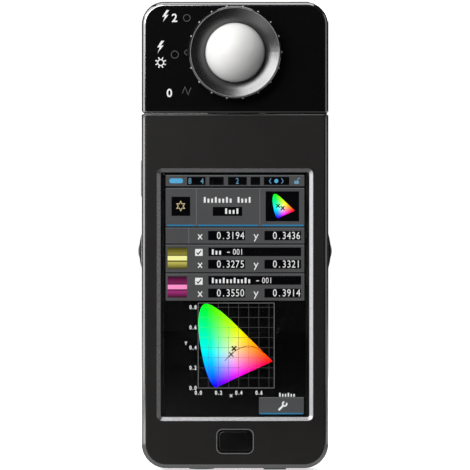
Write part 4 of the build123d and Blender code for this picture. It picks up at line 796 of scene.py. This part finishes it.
# %% Dots of the display
dots_wide, dots_high = 480, 800
lit_left, lit_top = -27.1, 115.55
dot_x, dot_z = 54.2 / dots_wide, 93.9 / dots_high
display_face = -3.9
layer_step = 0.012


def spot(u, v):
    """Dots to millimetres."""
    return lit_left + u * dot_x, lit_top - v * dot_z


def depth(layer):
    """Front of a layer."""
    return display_face - layer_step * layer


def field(form, u0, v0, u1, v1, layer):
    """Rectangle of dots as a plate."""
    plate(form, [spot(u0, v1), spot(u1, v1), spot(u1, v0), spot(u0, v0)], display_face, depth(layer))


def dots_line(form, points, width, layer):
    """Line through dots as a plate, its width in dots."""
    line(form, [spot(u, v) for u, v in points], width * dot_x, display_face, depth(layer))


def digits(form, text, u, v_low, height, pitch, layer, weight=0.0, narrow=0.82):
    """Digits at a fixed pitch, the first one centred at u, all standing on v_low."""
    for i, sign in enumerate(text):
        x, z = spot(u + i * pitch, v_low)
        numeral(form, sign, x, z, height * dot_z, weight, narrow, display_face, depth(layer))


def word(form, u, v_low, height, letters, pitch, layer):
    """Row of small blocks in place of a word, every third one taller."""
    for i in range(letters):
        top = height if i % 3 == 0 else height * 0.72
        field(form, u + i * pitch, v_low - top, u + (i + 0.5) * pitch, v_low, layer)


print("dot", round(dot_x, 4), "by", round(dot_z, 4), "mm")

# %% [markdown]
# Lit dots are a finish too: they emit their colour, a little unevenly, with the dark lines of the dot matrix
# between them. The matrix is at its real pitch, so it melts into a tone at this distance, as it does to the
# eye.


# %% Lit dots
def dot_matrix(tree, place):
    """Brightness of the dots: dark lines between them, and a backlight that is a little uneven."""
    x, y, z = add(tree, "ShaderNodeSeparateXYZ", {0: place}).node.outputs
    waves = []
    for along, pitch in ((x, dot_x), (z, dot_z)):
        turn = add(tree, "ShaderNodeMath", {0: along, 1: 2 * math.pi / pitch}, operation="MULTIPLY")
        sine = add(tree, "ShaderNodeMath", {0: turn}, operation="SINE")
        waves.append(add(tree, "ShaderNodeMath", {0: sine, 1: 0.08, 2: 1.0}, operation="MULTIPLY_ADD"))
    woven = add(tree, "ShaderNodeMath", {0: waves[0], 1: waves[1]}, operation="MULTIPLY")
    cloud = add(tree, "ShaderNodeTexNoise", {"Vector": place, "Scale": 1 / 18, "Detail": 2.0})
    backlight = add(tree, "ShaderNodeMapRange", {0: cloud, 1: 0.3, 2: 0.7, 3: 1.0, 4: 1.12})
    return add(tree, "ShaderNodeMath", {0: woven, 1: backlight}, operation="MULTIPLY")


def lit_dots(name, colour=None):
    """Dots of one colour, or of one that is linked later."""
    material, tree, shader, place = finish(
        name, roughness=0.3, specular_ior_level=0.1, base_color=(0, 0, 0, 1))
    if colour:
        shader.inputs["Emission Color"].default_value = linear(colour)
    set_inputs(tree, shader, emission_strength=dot_matrix(tree, place))
    return material, tree, shader, place


tones = {"panel_grey": "#4e4e4f", "seam_grey": "#6d7072", "frame_grey": "#7a7a7a", "grid_grey": "#4c4c4c",
         "mid_grey": "#6a6a70", "unlit": "#030305", "white": "#ececec", "line_blue": "#2b7aa5",
         "pill_blue": "#58aad8", "pale_blue": "#6f9fbb", "cream": "#f0d9a6", "olive": "#2e2e1a",
         "dark_brown": "#241014"}
dots = {tone: lit_dots("dots_" + tone, colour)[0] for tone, colour in tones.items()}
print("tones", len(dots))

# %% Panels and fields
# Rows are the dots of their top and bottom, boxes those of their left, top, right and bottom.
panel_rows = [(2, 39), (45, 173), (177, 230), (234, 326), (330, 420)]
value_rows = [(188, 219), (284, 314), (380, 410)]
black_boxes = [(20, 74, 85, 138), (163, 108, 265, 138), (346, 56, 462, 156), (148, 243, 469, 272),
               (148, 338, 469, 367)]
panels, seams, fields, blue = bmesh.new(), bmesh.new(), bmesh.new(), bmesh.new()
for top, bottom in panel_rows:
    field(panels, 0, top, 480, bottom, 1)
    field(seams, 0, top, 480, top + 2, 2)
for u, top, bottom in ((105, 47, 173), (325, 47, 173), (79, 179, 230)):
    field(seams, u, top, u + 2, bottom, 2)
for left, right in ((5, 100), (112, 320), (332, 476)):
    field(blue, left, 167, right, 172, 3)
for left, right in ((74, 138), (151, 201), (216, 281), (294, 327), (340, 428)):
    field(fields, left, 8, right, 35, 3)
for box in black_boxes:
    field(fields, *box, 3)
for top, bottom in value_rows:
    field(fields, 147, top, 275, bottom, 3)
    field(fields, 342, top, 469, bottom, 3)
field(panels, 323, 742, 478, 798, 1)
field(seams, 323, 742, 478, 744, 2)
field(blue, 326, 794, 475, 798.5, 3)
piece("screen_panels", panels, "body", dots["panel_grey"])
piece("screen_seams", seams, "body", dots["seam_grey"])
piece("screen_fields", fields, "body", dots["unlit"])
piece("screen_blue_lines", blue, "body", dots["line_blue"])

# %% Numbers and blocks
readings = [("0.3194", "0.3436"), ("0.3275", "0.3321"), ("0.3550", "0.3914")]
# The signs of the two axes are two strokes each, from dots counted down from the foot of the row.
axis_strokes = [((112, -20), (126, -3)), ((112, -3), (126, -20)),
                ((306, -20), (313, -7)), ((307, 4), (320, -20))]
digit_high, digit_pitch, block_pitch = 24, 16.2, 12.6
numbers = bmesh.new()
for (top, bottom), pair in zip(value_rows, readings):
    for reading, u in zip(pair, (184, 378)):
        digits(numbers, reading, u, bottom - 4, digit_high, digit_pitch, 5)
    for stroke in axis_strokes:
        dots_line(numbers, [(u, bottom + v) for u, v in stroke], 3.6, 5)
# Each word in dots: left end, foot, height, how many blocks, their pitch, and the layer.
word(numbers, 132, 94, 19, 8, 12.8, 5)
word(numbers, 249, 94, 19, 4, 12.8, 5)
word(numbers, 206, 131, 18, 4, 13.0, 5)
word(numbers, 393, 740, 13, 6, 9.8, 5)
for low, letters in ((267, 3), (362, 11)):
    word(numbers, 160, low, 18, letters, block_pitch, 5)
    dash = 160 + (letters + 1.2) * block_pitch
    dots_line(numbers, [(dash, low - 8), (dash + 9, low - 8)], 3.2, 5)
    digits(numbers, "001", dash + 25, low, 19, block_pitch, 5)
piece("screen_numbers", numbers, "body", dots["white"])

# %% Small signs of the status bar
pill, status, star = bmesh.new(), bmesh.new(), bmesh.new()
pill_corners = ((18, 13), (55, 13), (60, 17), (60, 25), (55, 29), (18, 29), (13, 25), (13, 17))
plate(pill, [spot(u, v) for u, v in pill_corners], display_face, depth(4))
plate(pill, round_outline(*spot(383, 21.5), 7 * dot_x, 7 * dot_z, 20), display_face, depth(4))
for number, u in (("8", 84), ("4", 126), ("2", 248)):
    digits(status, number, u, 31, 19, 12, 4)
for u, lean in ((362, 3), (404, -3)):
    dots_line(status, [(u + lean, 13), (u - lean, 22), (u + lean, 30)], 2.4, 4)
field(status, 445, 21, 461, 31, 4)
dots_line(status, [(457, 22), (457, 15), (461, 12), (466, 14)], 2.6, 4)
# The star is a closed line with six tips, and a dent after each.
tips = []
for i in range(12):
    turn, reach = math.radians(30 * i + 90), (16 if i % 2 == 0 else 8)
    tips.append(spot(52 + reach * math.cos(turn), 105 - reach * math.sin(turn)))
loop(star, tips, 1.8 * dot_x, display_face, depth(4))
piece("screen_pill", pill, "body", dots["pill_blue"])
piece("screen_status", status, "body", dots["pale_blue"])
piece("screen_star", star, "body", dots["cream"])

# %% Check boxes and spanner
boxes, ticks = bmesh.new(), bmesh.new()
for top in (248, 344):
    field(boxes, 102, top, 128, top + 23, 3)
    dots_line(ticks, [(107, top + 12), (112, top + 18), (123, top + 5)], 3.6, 4)
# The spanner is a thick stroke with an open jaw at its upper end.
dots_line(boxes, [(391, 785), (408, 768)], 7, 4)
jaw = [math.radians(100 + 290 * i / 16) for i in range(17)]
dots_line(boxes, [(412 + 7 * math.cos(t), 764 - 7 * math.sin(t)) for t in jaw], 5.5, 5)
piece("screen_boxes", boxes, "body", dots["white"])
piece("screen_ticks", ticks, "body", dots["unlit"])

# %% [markdown]
# ## Colour samples
#
# Two of the readings have a sample of their colour, with a pale band between dark lines. A colour ramp along
# the height paints it, so the sample is one plate and not eight.


# %% Two samples
def sample(name, top, bottom, dark, middle, bright, pale):
    """Plate whose colour runs down through a ramp."""
    material, tree, shader, place = lit_dots("dots_of_" + name)
    x, y, z = add(tree, "ShaderNodeSeparateXYZ", {0: place}).node.outputs
    down = add(tree, "ShaderNodeMapRange", {0: z, 1: spot(0, top)[1], 2: spot(0, bottom)[1], 3: 0, 4: 1})
    ramp = tree.nodes.new("ShaderNodeValToRGB")
    tree.links.new(down, ramp.inputs[0])
    ramp.color_ramp.elements[0].color = linear(dark)
    ramp.color_ramp.elements[-1].color = linear(dark)
    for position, colour in ((0.30, middle), (0.345, middle), (0.355, dark), (0.385, dark), (0.40, pale),
                             (0.60, pale), (0.62, dark), (0.66, dark), (0.68, bright)):
        ramp.color_ramp.elements.new(position).color = linear(colour)
    set_inputs(tree, shader, emission_color=ramp.outputs[0])
    form = bmesh.new()
    field(form, 7, top, 74, bottom, 3)
    piece(name, form, "body", material)


sample("sample_yellow", 243, 314, "#39340f", "#8f8634", "#c8bf5c", "#fdf9a4")
sample("sample_magenta", 339, 410, "#2f0c20", "#7a2056", "#a8337a", "#ff92cc")

# %% [markdown]
# ## The chart
#
# The chart shows every colour the eye can see, inside a curve of pure spectral colours that looks like a
# horseshoe. The pure colours are tabled, from violet round by green to red, and the outline is smoothed
# between them.

# %% Outline of the horseshoe
spectral = [(.1741, .0050), (.1714, .0051), (.1644, .0109), (.1566, .0177), (.1440, .0297), (.1241, .0578),
            (.1096, .0868), (.0913, .1327), (.0687, .2007), (.0454, .2950), (.0235, .4127), (.0082, .5384),
            (.0039, .6548), (.0139, .7502), (.0389, .8120), (.0743, .8338), (.1142, .8262), (.1547, .8059),
            (.2296, .7543), (.3016, .6923), (.3731, .6245), (.4441, .5547), (.5125, .4866), (.5752, .4242),
            (.6270, .3725), (.6658, .3340), (.6915, .3083), (.7190, .2809), (.7347, .2653)]


def smooth(points, steps=4):
    """Points along a soft curve through all of the given ones."""
    made = []
    for i in range(len(points) - 1):
        a, b, c, d = (Vector(points[max(0, min(len(points) - 1, i + k))]) for k in (-1, 0, 1, 2))
        for step in range(steps):
            t = step / steps
            made.append(tuple(0.5 * (2 * b + (c - a) * t + (2 * a - 5 * b + 4 * c - d) * t ** 2
                                     + (3 * b - a - 3 * c + d) * t ** 3)))
    return made + [points[-1]]


print("outline of", len(smooth(spectral)), "points")

# %% [markdown]
# A point with coordinates x and y has a colour that follows by a fixed matrix, so no picture is needed: each
# point of the plate carries its x and y as an attribute, and three dot products in the material turn them to
# red, green and blue. The three pure colours lie in the corners of the horseshoe, because with those of a
# real screen large parts would come out all one colour.

# %% Finish of all colours
shown, tree, shader, place = lit_dots("dots_of_all_colours")
chroma = tree.nodes.new("ShaderNodeAttribute")
chroma.attribute_name = "chromaticity"
to_primaries = ((1.7800, 0.1667, -0.2825), (-0.5751, 1.3458, 0.0661), (-0.9416, -1.0726, 0.9763))
primaries = [add(tree, "ShaderNodeVectorMath", {0: chroma.outputs["Vector"], 1: row}, operation="DOT_PRODUCT")
             for row in to_primaries]
mixed = add(tree, "ShaderNodeCombineXYZ", dict(enumerate(primaries)))
kept = add(tree, "ShaderNodeVectorMath", {0: mixed, 1: (0, 0, 0)}, operation="MAXIMUM")
even = add(tree, "ShaderNodeVectorMath", {0: kept}, operation="NORMALIZE")
full = add(tree, "ShaderNodeVectorMath", {0: even, "Scale": 1.45}, operation="SCALE")
deep = add(tree, "ShaderNodeGamma", {"Color": full, "Gamma": 1.4})
set_inputs(tree, shader, emission_color=deep)
print("colour of every point by", shown.name)


# %% Two horseshoes
def horseshoe(name, u, v, per_x, per_y, layer):
    """Chart field whose zero point is at dots u and v, with that many dots per unit of x and y."""
    form = bmesh.new()
    plate(form, [spot(u + x * per_x, v - y * per_y) for x, y in smooth(spectral)], display_face, depth(layer))
    made = piece(name, form, "body", shown)
    values = made.data.attributes.new("chromaticity", "FLOAT_VECTOR", "POINT")
    for vertex, value in zip(made.data.vertices, values.data):
        dot_u, dot_v = (vertex.co.x / mm - lit_left) / dot_x, (lit_top - vertex.co.z / mm) / dot_z
        value.vector = ((dot_u - u) / per_x, (v - dot_v) / per_y, 1.0)


zero_u, zero_v, per_x, per_y = 112.5, 711, 350, 336
horseshoe("chart_colours", zero_u, zero_v, per_x, per_y, 3)
horseshoe("small_chart_colours", 370, 146, 104, 97, 4)

# %% [markdown]
# ## Grid of the chart
#
# The grid has a line for each tenth of x and y. It is two rows of bars, so the tree makes it from the two
# pitches and the two counts.

# %% Grid
corner_x, corner_z = spot(zero_u, zero_v)
grid_thickness = layer_step * 4
grid_sizes = {
    "Columns": 8, "Rows": 9, "Column Pitch": per_x / 10 * dot_x * mm, "Row Pitch": per_y / 10 * dot_z * mm,
    "Width": 263 * dot_x * mm, "Height": 283 * dot_z * mm, "Line": 1.1 * dot_x * mm,
    "Thickness": grid_thickness * mm,
    "Corner": (corner_x * mm, (display_face - grid_thickness / 2) * mm, corner_z * mm),
    "Finish": dots["grid_grey"]}
grid, given, result = group_with("chart_grid", **grid_sizes)
joined = grid.nodes.new("GeometryNodeJoinGeometry")
for count, pitch, long_way, along, across in (
        ("Columns", "Column Pitch", "Height", 2, 0), ("Rows", "Row Pitch", "Width", 0, 2)):
    half = add(grid, "ShaderNodeMath", {0: given[long_way], 1: 0.5}, operation="MULTIPLY")
    start = add(grid, "ShaderNodeCombineXYZ", {along: half})
    offset = add(grid, "ShaderNodeCombineXYZ", {across: given[pitch]})
    points = add(grid, "GeometryNodeMeshLine",
                 {"Count": given[count], "Start Location": start, "Offset": offset})
    size = add(grid, "ShaderNodeCombineXYZ",
               {along: given[long_way], 1: given["Thickness"], across: given["Line"]})
    bar = add(grid, "GeometryNodeMeshCube", {"Size": size})
    row = add(grid, "GeometryNodeInstanceOnPoints", {"Points": points, "Instance": bar})
    grid.links.new(row, joined.inputs[0])
moved = add(grid, "GeometryNodeTransform", {"Geometry": joined.outputs[0], "Translation": given["Corner"]})
real = add(grid, "GeometryNodeRealizeInstances", {"Geometry": moved})
done = add(grid, "GeometryNodeSetMaterial", {"Geometry": real, "Material": given["Finish"]})
grid.links.new(done, result.inputs[0])
grow("chart_grid", grid, "body", "display", **grid_sizes)

# %% Frame and scales of the chart
frame_line, scales = bmesh.new(), bmesh.new()
corners = ((zero_u, zero_v), (375.5, zero_v), (375.5, 428), (zero_u, 428))
loop(frame_line, [spot(u, v) for u, v in corners], 1.8 * dot_x, display_face, depth(5))
for i in range(5):
    digits(scales, "0.%d" % (2 * i), 86, zero_v + 6 - i * per_y / 5, 12.5, 8.6, 4, 0.03, 0.8)
    if i < 4:
        digits(scales, "0.%d" % (2 * i), zero_u - 8 + i * per_x / 5, 733, 12.5, 8.6, 4, 0.03, 0.8)
for points in (((66, 556), (70, 562), (70, 568)), ((74, 556), (70, 562)), ((222, 732), (231, 742)),
               ((222, 742), (231, 732))):
    dots_line(scales, points, 2.4, 4)
piece("chart_frame", frame_line, "body", dots["frame_grey"])
piece("chart_scales", scales, "body", dots["white"])

# %% Curve of glowing bodies and the readings
# The curve runs from candle light on its right through daylight to blue sky on its left.
glowing = [(.6528, .3444), (.5857, .3931), (.5267, .4133), (.4770, .4137), (.4369, .4041), (.4053, .3907),
           (.3805, .3768), (.3451, .3516), (.3135, .3237), (.2952, .3048), (.2807, .2884), (.2637, .2673)]
curve, dark_cross, grey_cross = bmesh.new(), bmesh.new(), bmesh.new()
dots_line(curve, [(zero_u + x * per_x, zero_v - y * per_y) for x, y in smooth(glowing)], 2.1, 5)


def cross(form, u, v, reach, width, layer):
    """Cross of two lines through dots."""
    dots_line(form, [(u - reach, v - reach), (u + reach, v + reach)], width, layer)
    dots_line(form, [(u - reach, v + reach), (u + reach, v - reach)], width, layer + 0.2)


cross(dark_cross, zero_u + 0.3550 * per_x, zero_v - 0.3914 * per_y, 7.5, 5.2, 6)
cross(dark_cross, zero_u + 0.3230 * per_x, zero_v - 0.3350 * per_y, 5.5, 1.6, 6)
cross(dark_cross, 389, 104, 6.5, 4.0, 6)
cross(dark_cross, 405, 112, 6.5, 4.0, 6)
cross(grey_cross, zero_u + 0.3275 * per_x, zero_v - 0.3321 * per_y, 7.5, 4.2, 5)
piece("chart_curve", curve, "body", dots["olive"])
piece("chart_crosses", dark_cross, "body", dots["dark_brown"])
piece("chart_grey_cross", grey_cross, "body", dots["mid_grey"])

# %% [markdown]
# ## Thread of the tripod bush
#
# The bush in the back has the common tripod thread, 20 turns to the inch, so its pitch is 1.27 mm. A thread
# is a profile swept along a spiral, which Geometry Nodes do with two curves.

# %% Thread
bush_low, bush_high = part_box("tripod_bush")
thread_sizes = {
    "Turns": 4.6, "Pitch": 1.27 * mm, "Bore Radius": 3.1 * mm, "Tooth": 0.45 * mm,
    "Start": (0.0, bush_high.y - 0.7 * mm, (bush_low.z + bush_high.z) / 2), "Finish": brass}
thread, given, result = group_with("bush_thread", **thread_sizes)
rise = add(thread, "ShaderNodeMath", {0: given["Turns"], 1: given["Pitch"]}, operation="MULTIPLY")
helix = add(thread, "GeometryNodeCurveSpiral", {
    "Resolution": 32, "Rotations": given["Turns"], "Start Radius": given["Bore Radius"],
    "End Radius": given["Bore Radius"], "Height": rise})
tooth = add(thread, "GeometryNodeCurvePrimitiveCircle", {"Resolution": 3, "Radius": given["Tooth"]})
swept = add(thread, "GeometryNodeCurveToMesh", {"Curve": helix, "Profile Curve": tooth, "Fill Caps": True})
into = add(thread, "GeometryNodeTransform", {"Geometry": swept, "Rotation": (math.radians(90), 0, 0),
                                             "Translation": given["Start"]})
real = add(thread, "GeometryNodeRealizeInstances", {"Geometry": into})
done = add(thread, "GeometryNodeSetMaterial", {"Geometry": real, "Material": given["Finish"]})
thread.links.new(done, result.inputs[0])
grow("bush_thread", thread, "body", "bush_brass", **thread_sizes)

# %% [markdown]
# ## Size note and end
#
# The size of the dressed model's box is printed at the end. The dressed model has to stay inside the
# box of the solids.

# %% Write the sizes and finish
low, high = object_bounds()
print("visual box", [round(v, 4) for v in high - low])
